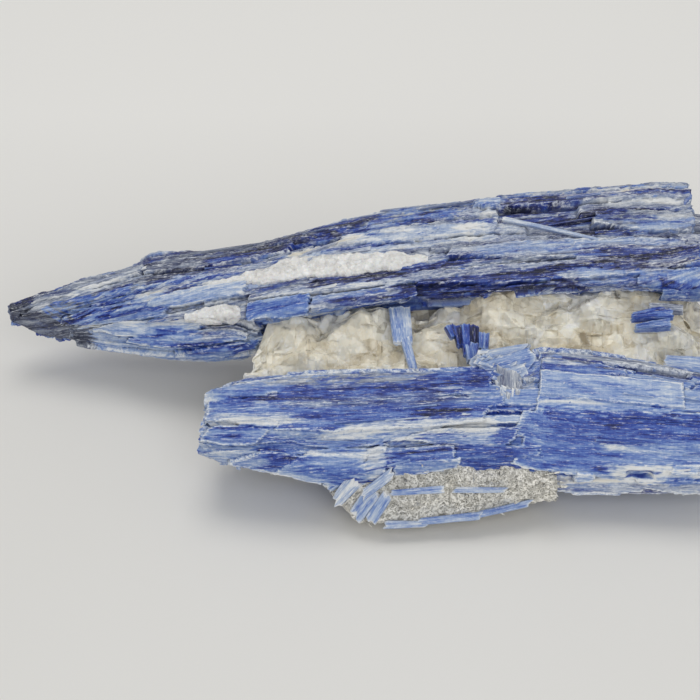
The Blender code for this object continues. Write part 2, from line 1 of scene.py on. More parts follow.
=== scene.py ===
# %% [markdown]
# # Kyanite blade cluster
# Kyanite grows as long flat blades, and many blades side by side make a bundle. This specimen has two
# bundles that meet at a slight angle, with granular quartz between them and a pale crust underneath.
# The solids give the place and the main form of each mineral. This script gives each one a fine surface
# of its own and a finish made from shader nodes.

import math

import bpy
import numpy as np
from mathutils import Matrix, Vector


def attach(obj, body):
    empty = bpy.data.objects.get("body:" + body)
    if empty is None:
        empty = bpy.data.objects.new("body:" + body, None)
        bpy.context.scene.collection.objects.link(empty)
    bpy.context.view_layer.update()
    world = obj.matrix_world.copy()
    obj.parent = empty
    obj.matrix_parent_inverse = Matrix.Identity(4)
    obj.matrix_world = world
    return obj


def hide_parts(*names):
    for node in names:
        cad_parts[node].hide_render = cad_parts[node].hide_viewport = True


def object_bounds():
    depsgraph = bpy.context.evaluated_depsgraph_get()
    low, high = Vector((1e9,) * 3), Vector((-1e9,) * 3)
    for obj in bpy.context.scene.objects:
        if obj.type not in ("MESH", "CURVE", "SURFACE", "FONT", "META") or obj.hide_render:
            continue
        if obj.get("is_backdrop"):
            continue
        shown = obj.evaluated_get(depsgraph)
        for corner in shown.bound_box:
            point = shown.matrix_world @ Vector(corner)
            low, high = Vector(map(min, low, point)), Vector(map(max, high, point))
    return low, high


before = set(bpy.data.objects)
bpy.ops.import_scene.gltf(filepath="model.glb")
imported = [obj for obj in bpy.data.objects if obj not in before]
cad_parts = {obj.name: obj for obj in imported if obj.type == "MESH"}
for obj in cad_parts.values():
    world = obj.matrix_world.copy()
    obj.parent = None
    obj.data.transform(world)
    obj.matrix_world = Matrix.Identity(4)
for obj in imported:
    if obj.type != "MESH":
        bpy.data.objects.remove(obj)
solid_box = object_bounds()
print("solids:", sorted(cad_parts))

# %% [markdown]
# The forms below are drawn in millimetres: X along the blades, Y from the front bundle to the back one,
# Z up from the table. One line turns them into metres about the middle of the footprint, which is where
# the solids have their origin.

# %% Units and the drawing's origin
MM = 0.001
FOOTPRINT_MIDDLE = np.array((7.0, 1.64, 0.0))
TABLE_GAP = 0.4                               # nothing but the quartz comes nearer the table than this


def in_metres(points):
    return (points - FOOTPRINT_MIDDLE) * MM


print("middle of the footprint, mm:", FOOTPRINT_MIDDLE)

# %% [markdown]
# The camera looks down at the cluster at 40 degrees with a long lens, so that parallel blades stay
# nearly parallel when rendered. It is placed first, since the light is judged through it.

# %% Camera
LOOK_AT = np.array((0.0, -3.0, 19.9))
CAMERA_DISTANCE = 0.420
CAMERA_LENS = 108.0                           # focal length in mm
CAMERA_ELEVATION = math.radians(40.0)


def place_camera():
    data = bpy.data.cameras.new("camera")
    data.lens = CAMERA_LENS
    data.sensor_width = 36.0
    data.clip_start = 0.01
    camera = bpy.data.objects.new("camera", data)
    bpy.context.scene.collection.objects.link(camera)
    back = Vector((0.0, -math.cos(CAMERA_ELEVATION), math.sin(CAMERA_ELEVATION)))
    camera.location = Vector(in_metres(LOOK_AT)) + back * CAMERA_DISTANCE
    camera.rotation_euler = (-back).to_track_quat("-Z", "Y").to_euler()
    bpy.context.scene.camera = camera
    return camera


camera = place_camera()
print("camera at", [round(value, 3) for value in camera.location])

# %% [markdown]
# A large window overhead gives the satin glow on the upper faces and a soft shadow straight below. A
# second, weaker one in front keeps the steep faces bright, and an even light stands for the pale room.

# %% Light
WINDOW_PLACE = Vector((-0.06, 0.24, 0.80))
WINDOW_SIZE = 0.50
WINDOW_POWER = 2.1
FILL_PLACE = Vector((0.12, -0.55, 0.42))
FILL_POWER = 1.5
WARM_LIGHT, COOL_LIGHT = (1.0, 0.99, 0.965), (0.95, 0.97, 1.0)
ROOM_COLOR = (0.96, 0.98, 1.0, 1.0)
ROOM_STRENGTH = 0.44


def area_light(name, place, size, power, color):
    data = bpy.data.lights.new(name, "AREA")
    data.size = size
    data.energy = power
    data.color = color
    lamp = bpy.data.objects.new(name, data)
    lamp.location = place
    lamp.rotation_euler = (-place).to_track_quat("-Z", "Y").to_euler()
    bpy.context.scene.collection.objects.link(lamp)


def light_room():
    world = bpy.data.worlds.new("pale_room")
    world.use_nodes = True
    background = world.node_tree.nodes["Background"]
    background.inputs["Color"].default_value = ROOM_COLOR
    background.inputs["Strength"].default_value = ROOM_STRENGTH
    bpy.context.scene.world = world
    bpy.context.scene.view_settings.view_transform = "Standard"


area_light("window", WINDOW_PLACE, WINDOW_SIZE, WINDOW_POWER, WARM_LIGHT)
area_light("fill", FILL_PLACE, WINDOW_SIZE, FILL_POWER, COOL_LIGHT)
light_room()

# %% [markdown]
# Nothing in a mineral repeats, yet the script must give the same cluster each time. Both come from a
# scatter function: whole numbers go in and a number between 0 and 1 comes out, always the same for the
# same input. Smooth noise is blended from it. Grains are small boxes turned at random round scattered
# points. Where they overlap only the highest face shows, which gives flat facets that meet at sharp
# edges.

# %% Repeatable randomness
MIXERS = (374761393, 668265263, 1274126177, 1103515245)   # large odd numbers that stir the bits
LOW_BITS, LAST_BITS = 0xFFFFFFFF, 0xFFFFFF
LEVEL_SPREAD = 0.3                            # how far grains of one size differ in level


def scatter(a, b, seed):
    """A number from 0 to 1 for each pair of whole numbers."""
    a = np.asarray(a, np.int64)
    b = np.asarray(b, np.int64)
    mixed = (a * MIXERS[0] + b * MIXERS[1] + seed * MIXERS[2]) & LOW_BITS
    mixed = ((mixed ^ (mixed >> 13)) * MIXERS[3]) & LOW_BITS
    return ((mixed ^ (mixed >> 16)) & LAST_BITS) / float(LAST_BITS + 1)


def smooth(t):
    t = np.clip(t, 0.0, 1.0)
    return t * t * (3.0 - 2.0 * t)


def noise(x, y, seed):
    """Smooth noise from 0 to 1 with features one unit across."""
    x, y = np.broadcast_arrays(np.asarray(x, float), np.asarray(y, float))
    ix, iy = np.floor(x), np.floor(y)
    tx, ty = smooth(x - ix), smooth(y - iy)
    low = scatter(ix, iy, seed) * (1 - tx) + scatter(ix + 1, iy, seed) * tx
    high = scatter(ix, iy + 1, seed) * (1 - tx) + scatter(ix + 1, iy + 1, seed) * tx
    return low * (1 - ty) + high * ty


def rough_noise(x, y, seed, layers=3):
    total = sum(noise(x * 2 ** n, y * 2 ** n, seed + n) / 2 ** n for n in range(layers))
    return total / sum(1 / 2 ** n for n in range(layers))


def crystal_axes(key, seed):
    """Three directions at right angles for each grain, turned at random."""
    w, x, y, z = (scatter(key, n, seed) - 0.5 for n in range(7, 11))
    size = np.sqrt(w * w + x * x + y * y + z * z) + 1e-6
    w, x, y, z = w / size, x / size, y / size, z / size
    return ((1 - 2 * (y * y + z * z), 2 * (x * y - w * z), 2 * (x * z + w * y)),
            (2 * (x * y + w * z), 1 - 2 * (x * x + z * z), 2 * (y * z - w * x)),
            (2 * (x * z - w * y), 2 * (y * z + w * x), 1 - 2 * (x * x + y * y)))


def facets(points, size, seed, tilt, steep):
    """Grains with flat faces, of which the highest shows: its height, its number, the seam's nearness."""
    scaled = points / size
    home = np.floor(scaled)
    highest = np.full(len(points), -9.0)
    second = np.full(len(points), -9.0)
    number = np.zeros(len(points), np.int64)
    for dx in (-1, 0, 1):
        for dy in (-1, 0, 1):
            for dz in (-1, 0, 1):
                cell = home + (dx, dy, dz)
                key = (cell[:, 0] * 73 + cell[:, 1] * 1951 + cell[:, 2] * 50021).astype(np.int64)
                gap = scaled - cell - np.stack([scatter(key, n, seed) for n in range(3)], axis=1)
                lean = np.stack([scatter(key, n, seed) - 0.5 for n in range(3, 6)], axis=1)
                faces = [np.abs(sum(axis[n] * gap[:, n] for n in range(3)))
                         for axis in crystal_axes(key, seed)]
                height = LEVEL_SPREAD * (scatter(key, 6, seed) - 0.5) + tilt * (gap * lean).sum(axis=1)
                height = height - steep * np.maximum(np.maximum(faces[0], faces[1]), faces[2])
                higher = height > highest
                second = np.where(higher, highest, np.maximum(second, height))
                number = np.where(higher, key, number)
                highest = np.where(higher, height, highest)
    return highest * size, number, (highest - second) * size


print("noise at four places:", np.round(noise(np.arange(4) * 0.7, 0.3, 5), 2))

# %% [markdown]
# The colour of kyanite runs from almost black blue to pearly white within one blade. Each kind of streak
# is named here once, with four values: how light it is, how grey, how creamy, and how frayed.

# %% Kinds of streak
KINDS = {
    "navy": (0.10, 0.10, 0.0, 0.1), "deep": (0.32, 0.0, 0.0, 0.2), "blue": (0.50, 0.05, 0.0, 0.3),
    "light": (0.66, 0.05, 0.0, 0.4), "pale": (0.77, 0.15, 0.0, 0.5), "white": (0.92, 0.3, 0.15, 0.8),
    "cream": (0.88, 0.2, 0.85, 0.8), "slate": (0.50, 0.85, 0.0, 0.5), "ash": (0.42, 0.95, 0.0, 0.2),
    "grey": (0.66, 0.8, 0.05, 0.4), "mottled": (0.58, 0.60, 0.1, 0.9),
}
print(len(KINDS), "kinds of streak")

# %% [markdown]
# A bundle is drawn as cross-sections at stations along X, from its toe (low front edge) to its ridge
# (high rear edge). The profile gives the outline of a section: share of the way from toe to ridge, and
# share of the thickness outwards. The solids are lofts through the same sections.

# %% Cross-sections of the bundles
FRONT_PROFILE = [(0.0, 0.0), (0.16, 0.30), (0.48, 0.40), (0.80, 0.26), (1.0, 0.0),
                 (1.06, -0.30), (0.85, -0.80), (0.45, -0.92), (0.08, -0.50)]
BACK_PROFILE = [(0.0, 0.0), (0.0, 0.30), (0.28, 0.40), (0.58, 0.36), (0.84, 0.22), (1.0, 0.0),
                (1.04, -0.25), (0.95, -0.75), (0.55, -1.0), (0.12, -0.60)]
FRONT_RIDGE = 4
BACK_RIDGE = 5
WALL_SHARE = 0.14                             # the upright front wall counts as this much share below 0

# x, toe (y, z), ridge (y, z), thickness, backward lean of the wall, ridge further along x than toe
FRONT_LEFT_STATIONS = [
    (-29.3, (-25.3, 12.4), (-16.6, 18.9), 8, 0, 1), (-27.5, (-26.8, 11.2), (-15.2, 19.6), 10, 0, 0.5),
    (-24, (-28, 10.4), (-13.4, 20.6), 11.5, 0, 0), (-17, (-28.8, 10.3), (-13, 21.5), 12.5, 0, 0),
    (-8, (-30, 7.9), (-13.2, 21.8), 13, 0, 0), (1, (-30.5, 7), (-13, 21.9), 13, 0, 0),
    (12, (-29.8, 9.3), (-12.5, 21.8), 13, 0, 0), (25, (-29, 10.2), (-12, 22.2), 13, 0, 0),
    (37, (-29, 9), (-12, 22.2), 12, 0, 0),
]
FRONT_RIGHT_STATIONS = [
    (28.4, (-28.4, 9.4), (-10.6, 23.2), 11, 0, 6.6), (30, (-29.4, 8), (-9.6, 23.9), 12.5, 0, 6),
    (38, (-29.7, 5.6), (-9.2, 24.2), 13.5, 0, 0), (49, (-30, 5.9), (-9.9, 23.8), 13.5, 0, 0),
    (60, (-31, 6.7), (-11.4, 22.8), 13, 0, 0), (69, (-31.5, 8), (-12.9, 21.7), 12, 0, 0),
    (78, (-32, 9.5), (-14.5, 21.1), 10.5, 0, 0), (82.5, (-30.8, 11.2), (-16.6, 20.4), 8.5, 0, 1.5),
]
BACK_STATIONS = [
    (-70.8, (14.2, 12), (16.6, 15.4), 3, 0.45, 0), (-69, (13.6, 11.2), (16.6, 16), 4, 0.55, 0),
    (-64, (12, 9.4), (18.5, 17), 6.5, 0.45, 0), (-55, (11, 9.2), (19.8, 20), 8.5, 0.22, 0),
    (-50, (10.4, 11.2), (20.4, 20.8), 9, 0.1, 0), (-45, (9.8, 13.6), (21.4, 22), 9.5, 0.04, 0),
    (-41, (9, 15.4), (22.9, 24), 10, 0, 0), (-28, (6.6, 17.6), (23.4, 24.4), 11, 0, 0),
    (-17, (4.8, 19.6), (25, 25.7), 12, -0.02, 0), (-13, (4.8, 20.7), (26.1, 26.5), 12.5, -0.02, 0),
    (-1, (5.4, 22.9), (29, 28.5), 13, -0.02, 0), (10, (6.4, 24), (30.8, 30), 13, -0.02, 0),
    (26, (6.9, 24.3), (32.2, 31), 13, -0.02, 0), (29, (7.2, 24.6), (32.7, 31.8), 13, -0.02, 0),
    (44, (8.6, 25.5), (33.8, 32.2), 13, -0.02, 0), (60, (8.7, 25.5), (35.9, 32.6), 13, -0.02, 0),
    (70.2, (7.9, 24.6), (36.8, 32.4), 12, 0, 0.8),
]
BACK_LOBE_STATIONS = [
    (-58, (11.2, 9.8), (14, 13.4), 3, 0, 0), (-52, (10, 9.4), (14.5, 15), 5, 0, 0),
    (-45, (8, 9.8), (13.6, 17.4), 7, 0, 0), (-38, (6, 10), (12.8, 18.4), 8, 0, 0),
    (-28, (4.4, 11), (11.4, 19.6), 9, 0, 0), (-21, (4, 12), (11, 20), 9, 0, 0),
    (-17.6, (5.2, 13.6), (10.6, 19.4), 8, 0, -1.5),
]
print("the back bundle runs from x", BACK_STATIONS[0][0], "to", BACK_STATIONS[-1][0], "mm")

# %% [markdown]
# A bundle's surface is a grid: rows run round it and columns along the blades, so that the edges of
# blades follow the rows and stay crisp. Rows lie close together on the top, and wider apart underneath.
# Sizes along and across the blades are kept in millimetres, so a blade keeps its width where the bundle
# tapers and ends at the taper instead, as real blades do.

# %% The surface grid of a bundle
SECTION_SIZE = (26.0, 13.0)                   # width and thickness that rows are shared out by, in mm
SOFTENING = (-1.2, 0.0, 1.2)                  # stations are averaged over these steps along X
PAST_RIDGE = 1.5                              # the close rows go on this far behind the ridge


def ring_places(profile, ridge, top_rows, hidden_rows):
    """Places round the ring; whole numbers are the points of the profile, and 0 is the toe."""
    corners = np.array(profile + profile[:1]) * SECTION_SIZE
    arc = np.concatenate([[0.0], np.cumsum(np.linalg.norm(np.diff(corners, axis=0), axis=1))])
    top = arc[ridge] + PAST_RIDGE
    spots = np.concatenate([np.linspace(0.0, top, top_rows, endpoint=False),
                            np.linspace(top, arc[-1], hidden_rows, endpoint=False)])
    return np.interp(spots, arc, np.arange(len(arc)))


def shares_of(profile, ridge, places):
    """0 to 1 over the top, 1 to 2 over the hidden side, and below 0 on an upright front wall."""
    count = len(profile)
    marks = [share for share, depth in profile[:ridge + 1]]
    marks[0] -= WALL_SHARE if profile[1][0] == profile[0][0] else 0.0
    marks += [1.0 + (n - ridge) / (count - ridge) for n in range(ridge + 1, count + 1)]
    return np.interp(places, np.arange(count + 1), marks)


def section_points(stations, profile, x):
    """The profile's points at each x of an array: shape (points, *x.shape, 3)."""
    table = np.array([[s[0], *s[1], *s[2], *s[3:]] for s in stations])
    values = [sum(np.interp(x + step, table[:, 0], table[:, n]) for step in SOFTENING) / len(SOFTENING)
              for n in range(1, 8)]
    toe_y, toe_z, ridge_y, ridge_z, thickness, lean, slant = values
    along_y, along_z = ridge_y - toe_y, ridge_z - toe_z
    length = np.hypot(along_y, along_z)
    out_y, out_z = -along_z / length * thickness, along_y / length * thickness
    points = []
    for share, depth in profile:
        place = lean + (1.0 - lean) * share if depth > 0.0 else share + 0.0 * x
        points.append(np.stack([x + slant * place, toe_y + along_y * place + out_y * depth,
                                toe_z + along_z * place + out_z * depth], axis=-1))
    return np.array(points)


def blur(values, rows, columns):
    """The mean over a few neighbours either way; rows go round, columns stop at the ends."""
    total = sum(np.roll(values, n, axis=0) for n in range(-rows, rows + 1)) / (2 * rows + 1)
    padded = np.concatenate([total[:, :1]] * columns + [total] + [total[:, -1:]] * columns, axis=1)
    width = values.shape[1]
    return sum(padded[:, n:n + width] for n in range(2 * columns + 1)) / (2 * columns + 1)


def grid_normals(points):
    """Outward directions of a grid whose rows go round and whose columns go along +X."""
    round_way = np.roll(points, -1, axis=0) - np.roll(points, 1, axis=0)
    long_way = np.gradient(points, axis=1)
    normals = np.cross(long_way, round_way)
    normals /= np.linalg.norm(normals, axis=-1, keepdims=True) + 1e-9
    outwards = points - points.mean(axis=0, keepdims=True)
    return normals * np.sign((normals * outwards).sum() or 1.0)


print("stations:", len(BACK_STATIONS), "for the back bundle,",
      len(FRONT_LEFT_STATIONS) + len(FRONT_RIGHT_STATIONS), "for the front one")

# %% [markdown]
# A skin is such a grid with a height and four colour values at each point. Everything that is done to a
# bundle afterwards writes into these. Its ends are ragged: lanes of blades reach further than others.
# Distances across the blades are measured from a line of growth that stays straight where the outline
# bends, so blades run out at a taper in the way that they do in a real bundle.

# %% A skin of blades
GROUND = -0.95                                # lowest level between the blades, in mm
EDGE_SPAN = 9.0                               # how far from an end its ragged outline still pulls
FACE_UP = (0.643, 0.766)                      # y and z of the way up the sloping top of a bundle
LANES = 26.0                                  # lanes that the ragged ends are divided into
COARSE_LANE, FINE_LANE = 2.3, 0.8


class BladeSkin:
    """The surface of a bundle of blades, with its relief and its colour values."""

    def __init__(self, stations, profile, ridge, columns, rows, anchor, ragged, seed, notches=(),
                 variety=0.3, level=False):
        self.seed = seed
        self.variety = variety
        places = ring_places(profile, ridge, *rows)
        self.share = shares_of(profile, ridge, places)
        self.x = np.linspace(stations[0][0], stations[-1][0], columns)
        self.along = self.x[None, :] + self.raggedness(ragged, notches)
        corners = section_points(stations, profile, self.along)
        low = np.floor(places).astype(int)
        t = (places - low)[:, None, None]
        each = np.arange(len(places))
        self.base = corners[low, each] * (1 - t) + corners[(low + 1) % len(profile), each] * t
        for axis in (1, 2):
            self.base[..., axis] = blur(self.base[..., axis], 3, 1)
        self.normal = grid_normals(self.base)
        step = np.linalg.norm(np.diff(self.base, axis=0), axis=-1)
        arc = np.concatenate([np.zeros((1, columns)), np.cumsum(step, axis=0)])
        self.across = arc - self.straight_line(arc, anchor)
        if level:
            self.across = self.level_across(arc)
        self.height = np.full(self.across.shape, GROUND)
        self.tone = np.full(self.across.shape, KINDS["blue"][0])
        self.slate, self.cream, self.fray = (np.zeros(self.across.shape) for n in range(3))
        self.shade = np.zeros(self.across.shape)

    def raggedness(self, ragged, notches):
        """How far each row's ends are pulled along X: lanes of different reach, and notches."""
        lane = self.share * LANES
        pulls = []
        for end, reach in enumerate(ragged):
            coarse = scatter(np.floor(lane / COARSE_LANE + 0.4), end, self.seed)
            fine = scatter(np.floor(lane / FINE_LANE), end + 2, self.seed)
            pulls.append(reach * (0.7 * coarse + 0.3 * fine - 0.5))
        for share, half, depth in notches:
            pulls[0] += depth * smooth(1.0 - np.abs(self.share - share) / half)
        from_a = smooth(1.0 - (self.x - self.x[0]) / EDGE_SPAN)
        from_b = smooth(1.0 - (self.x[-1] - self.x) / EDGE_SPAN)
        return pulls[0][:, None] * from_a + pulls[1][:, None] * from_b

    def straight_line(self, arc, anchor):
        """Where the straight line of growth nearest to the anchor share crosses each column.

        Blades grow straight, so the line keeps its course where the bundle's outline bends.
        """
        top = (self.share >= 0.0) & (self.share <= 1.0)
        rise = self.base[top, :, 1] * FACE_UP[0] + self.base[top, :, 2] * FACE_UP[1]
        line = rise[np.abs(self.share[top] - anchor).argmin()]
        course = np.polyval(np.polyfit(self.x, line, 2), self.x)
        found = np.zeros(len(self.x))
        for c in range(len(self.x)):
            spots = arc[top, c]
            within = np.interp(course[c], rise[:, c], spots)
            beyond = max(course[c] - rise[-1, c], 0.0) + min(course[c] - rise[0, c], 0.0)
            found[c] = within + beyond
        return found

    def level_across(self, arc):
        """Distances across taken from the rise alone, for an end that narrows but has level blades."""
        rise = self.base[..., 1] * FACE_UP[0] + self.base[..., 2] * FACE_UP[1]
        ridge = np.flatnonzero(self.share <= 1.0)[-1]
        middle = np.abs(self.share - 0.5).argmin()
        course = np.polyval(np.polyfit(self.x, rise[middle], 1), self.x)
        scale = (arc[ridge] - arc[0]).mean() / (rise[ridge] - rise[0]).mean()
        return np.where(self.share[:, None] <= 1.0, (rise - course) * scale,
                        (rise[ridge] - course) * scale + arc - arc[ridge])

    def cell(self, x, share):
        return np.abs(self.share - share).argmin(), np.abs(self.x - x).argmin()

    def line(self, x_a, share_a, x_b, share_b, reach):
        """The columns near a line between two places, and the distance across from that line."""
        across_a, across_b = self.across[self.cell(x_a, share_a)], self.across[self.cell(x_b, share_b)]
        columns = (self.x > x_a - reach) & (self.x < x_b + reach)
        x = self.along[:, columns]
        centre = across_a + (across_b - across_a) * (x - x_a) / (x_b - x_a)
        return columns, x, self.across[:, columns] - centre

    def colors(self):
        return self.tone, self.slate, self.cream, self.fray


print("lowest level of a skin, mm:", GROUND)

# %% [markdown]
# Kyanite is banded along its blades, and a band is never clean: its outline frays into threads and its
# ends run out one by one. A streak is therefore a line between two places with a half width, and noise
# that is long along the blades and short across them decides how far each point takes its colour. An
# image could do the same, but this way the bands follow the blades and stay sharp at any distance.

# %% Streaks of colour
BROAD = 6.0                                   # half width in mm from which a streak isn't broken up
# length along and width across the blades, in mm, of the noise that shapes a streak
WANDER, GRIT, TAILS, BREAKS = (5.0, 0.7), (1.7, 0.3), (8.0, 0.4), (3.4, 0.34)
TAIL_REACH = 6.0                              # how far the threads of a streak's ends differ, in mm
USUAL_STRENGTH = 0.85
UNBROKEN = 0.52                               # share of a narrow streak's strength that is never broken


def blade_noise(along, across, size, seed, layers=3):
    return rough_noise(along / size[0], across / size[1], seed, layers)


def paint_streak(skin, kind, x_a, share_a, x_b, share_b, half,
                 strength=USUAL_STRENGTH):
    """Colours a streak whose outline is ragged along the blades."""
    columns, x, off = skin.line(x_a, share_a, x_b, share_b, 3.0)
    seed = skin.seed + int(abs(x_a) * 10 + half * 100)
    wander = blade_noise(x, off, WANDER, seed) - 0.5
    grit = blade_noise(x, off, GRIT, seed + 3) - 0.5
    tail = np.minimum(x - x_a, x_b - x) + TAIL_REACH * (blade_noise(x, off, TAILS, seed + 7) - 0.5)
    weight = smooth((half * (1.0 + 1.4 * wander + 0.9 * grit) - np.abs(off)) / 0.5 + 0.5)
    weight *= smooth(tail / 1.4 + 0.6 + grit) * strength
    if half < BROAD:
        breaks = smooth(5.0 * (blade_noise(x, off, BREAKS, seed + 9) - 0.36))
        weight *= UNBROKEN + 0.48 * breaks
    for values, goal in zip(skin.colors(), KINDS[kind]):
        values[:, columns] += (goal - values[:, columns]) * np.minimum(weight, 1.0)


print("a streak wider than", 2 * BROAD, "mm is a ground colour")

# %% [markdown]
# The blades lie on one another like roof slates. Each is a raised strip with worn edges, a slightly
# tilted top and ends broken across at a slant, and where two overlap the higher one shows. Hollows are
# cut the other way, down to a level. Working on the grid's height keeps every blade in one closed mesh.

# %% Hollows and blades
BEVEL = 0.16                                  # a blade's edge is worn this much, in mm
BURIED = 1.7                                  # how far a blade's side drops before it meets another
EDGE_WAVE, EDGE_WAVE_LENGTH = 0.35, 3.0       # how much and how often a blade's outline wavers
BREAK_DEPTH, BREAK_WIDTH = 1.3, 0.7           # teeth of a blade's broken ends
TILT = 0.45                                   # how much a blade's top tilts either way
LAST_SHARE = 1.98                             # blades are scattered right round, up to this share
STRAY = 0.012                                 # how far a blade's far end leaves the parallel, as a share


def sink_along(skin, x_a, share_a, x_b, share_b, half, level):
    """Lowers the surface to a level along a line, as for a hollow."""
    columns, x, off = skin.line(x_a, share_a, x_b, share_b, 1.0)
    inside = smooth((half - np.abs(off)) / 0.5 + 0.5) * smooth(np.minimum(x - x_a, x_b - x) + 0.5)
    height = skin.height[:, columns]
    skin.height[:, columns] = np.minimum(height, level * inside + height * (1 - inside))


def lay_blade(skin, x_a, share_a, x_b, share_b, width, level, narrow, skew, kind=None):
    """Lays a flat blade on the surface: worn edges, a tilted top and ends broken across."""
    columns, x, off = skin.line(x_a, share_a, x_b, share_b, 1.0 + abs(skew) * width)
    key = int(abs(x_a) * 37 + abs(share_a) * 997)
    lot = [float(scatter(key, n, skin.seed)) for n in range(4)]
    t = np.clip((x - x_a) / (x_b - x_a), 0.0, 1.0)
    half = 0.5 * width * (narrow[0] + (1 - narrow[0]) * smooth(t * 3.0))
    half = half * (narrow[1] + (1 - narrow[1]) * smooth((1 - t) * 3.0))
    half = half + EDGE_WAVE * (rough_noise(x / EDGE_WAVE_LENGTH, off / 4.0 + key, skin.seed + 11) - 0.5)
    broken = BREAK_DEPTH * (rough_noise(off / BREAK_WIDTH, x * 0.0 + key, skin.seed + 13) - 0.5)
    ends = np.minimum(x - x_a - skew * off, x_b + skew * off - x) + broken
    inside = np.clip(np.minimum(half - np.abs(off), ends * 0.8) / BEVEL + 0.5, 0.0, 1.0)
    tilt = (lot[0] - 0.5) * np.clip(off / half, -1.0, 1.0) + (lot[1] - 0.5) * (t - 0.5)
    top = level + TILT * tilt - BURIED * (1.0 - inside)
    here = (inside > 0.0) & (top > skin.height[:, columns])
    skin.height[:, columns] = np.where(here, top, skin.height[:, columns])
    mark = here & (inside > 0.5)
    shift = (lot[2] - 0.5) * skin.variety
    skin.shade[:, columns] = np.where(mark, shift, skin.shade[:, columns])
    if kind:
        for values, goal in zip(skin.colors(), KINDS[kind]):
            values[:, columns] = np.where(mark, goal, values[:, columns])


def scatter_blades(skin, count, width, length, levels, seed):
    """Covers the whole bundle with blades of random size and place."""
    draw = np.random.default_rng(seed)
    x_a, x_b = skin.x[0], skin.x[-1]
    for n in range(count):
        start = draw.uniform(x_a - 4.0, x_b - 2.0)
        reach = draw.uniform(*length)
        share = draw.uniform(skin.share[0], LAST_SHARE)
        row, column = skin.cell(start, share)
        last = skin.cell(start + reach, share)[1]
        level_row = np.abs(skin.across[:, last] - skin.across[row, column]).argmin()
        far = skin.share[level_row] + draw.normal(0.0, STRAY)
        lay_blade(skin, start, share, start + reach, far, draw.uniform(*width),
                  draw.uniform(*levels), (draw.uniform(0.3, 0.9), draw.uniform(0.3, 0.9)),
                  draw.normal(0.0, 0.7))


print("a blade's side is", BURIED, "mm high")

# %% [markdown]
# Close up, each blade splits into thin laths, and the laths into fibres, because kyanite cleaves easily
# along its length. Laths are lanes of slightly different height and shade, cut into lengths at random.
# Fibres are fine noise that grows where a streak is frayed, and a slow bend keeps long faces from being
# dead flat.

# %% Laths, fibres and the finished grid
WARP = 14.0                                   # length of the waves in which laths wander, in mm
# length and width, in mm, of fibres, of shreds in frayed places, and of the slow bend
FIBRE, SHRED, BEND = (1.3, 0.32), (0.9, 0.7), (24.0, 7.0)


def split_laths(skin, width, length, height, seed, tone=0.12):
    """Splits every blade into thin laths of slightly different height and colour."""
    warp = blade_noise(skin.along, skin.across, (WARP, width * 3.0), seed)
    lane = skin.across / width + 1.4 * warp
    row = np.floor(lane)
    pace = 0.6 + 0.8 * scatter(row, 1, seed)
    run = skin.along / length * pace + 17.0 * scatter(row, 0, seed) + 0.3 * (lane - row)
    lot = scatter(row, np.floor(run), seed + 2)
    side = np.minimum(lane - row, row + 1 - lane) * width
    worn = smooth(side / (0.22 * width))
    skin.height += height * ((lot - 0.5) * (0.4 + 0.6 * worn) - 0.25 * (1.0 - worn))
    skin.shade += tone * (scatter(row, np.floor(run), seed + 3) - 0.5)


def raise_fibres(skin, height, seed):
    """Fine fibrous relief, strong where the blades are frayed."""
    fine = blade_noise(skin.along, skin.across, FIBRE, seed)
    bits = blade_noise(skin.along, skin.across, SHRED, seed + 5)
    skin.height += height * (0.35 + skin.fray) * (fine - 0.5)
    skin.height += height * 1.6 * skin.fray * (bits - 0.5)


def bend_blades(skin, height, seed):
    """A slow rise and fall, as no blade is quite flat."""
    skin.height += height * (blade_noise(skin.along, skin.across, BEND, seed, 2) - 0.5)


def finished_grid(skin, rim, gap_shade):
    """Points and values with the relief applied: raised edges paler, as wear and painted highlight; low
    gaps painted dark as shade.
    """
    points = skin.base + skin.normal * skin.height[..., None]
    points[..., 2] = np.maximum(points[..., 2], TABLE_GAP)
    # Raised relief later makes edges paler (wear and painted highlight); sunken relief paints shade into
    # the gaps.
    relief = skin.height - blur(skin.height, 2, 2)
    values = {"tone": np.clip(skin.tone + skin.shade, 0.0, 1.0), "slate": skin.slate,
              "cream": skin.cream, "fray": skin.fray,
              "relief": np.where(relief > 0.0, relief * rim, relief * gap_shade),
              "along": skin.along, "across": skin.across}
    return points, values


def dressed(skin, streaks, cover, blades, laths, fibres, bend=None, hollows=(), dents=()):
    """Paints, covers and roughens a skin; hollows lie under the named blades, and dents cut into them."""
    for row in streaks:
        paint_streak(skin, *row)
    scatter_blades(skin, *cover)
    for row in hollows:
        sink_along(skin, *row)
    for row in blades:
        lay_blade(skin, *row)
    for row in dents:
        sink_along(skin, *row)
    for row in laths:
        split_laths(skin, *row)
    raise_fibres(skin, *fibres)
    if bend:
        bend_blades(skin, *bend)
    print("relief from", round(skin.height.min(), 2), "to", round(skin.height.max(), 2), "mm")
    return skin


print("fibres are", FIBRE[0], "mm long and", FIBRE[1], "mm wide")

# %% [markdown]
# A grid becomes a mesh with one quad for every four neighbours. Each end is closed with rings that
# shrink to the middle. Blades break into steps, so a bundle's end is divided into flat laths that stand
# in or out by different amounts, and quartz or crust shows its grains there. The colour values are
# stored on the points, where the materials read them by name.

# %% Broken ends
CAP_STEPS = tuple(np.linspace(0.95, 0.05, 12))  # size of each ring as a share of the rim
LAYER, LAYER_WIDTH = 1.1, 3.2                 # thickness and width of a lath in a broken end, in mm
BROKEN_GRAIN = (0.5, 0.6)                     # tilt and steepness of grains in a broken end
MANY_ROWS = 60                                # a rim with more rows than this gets all the rings


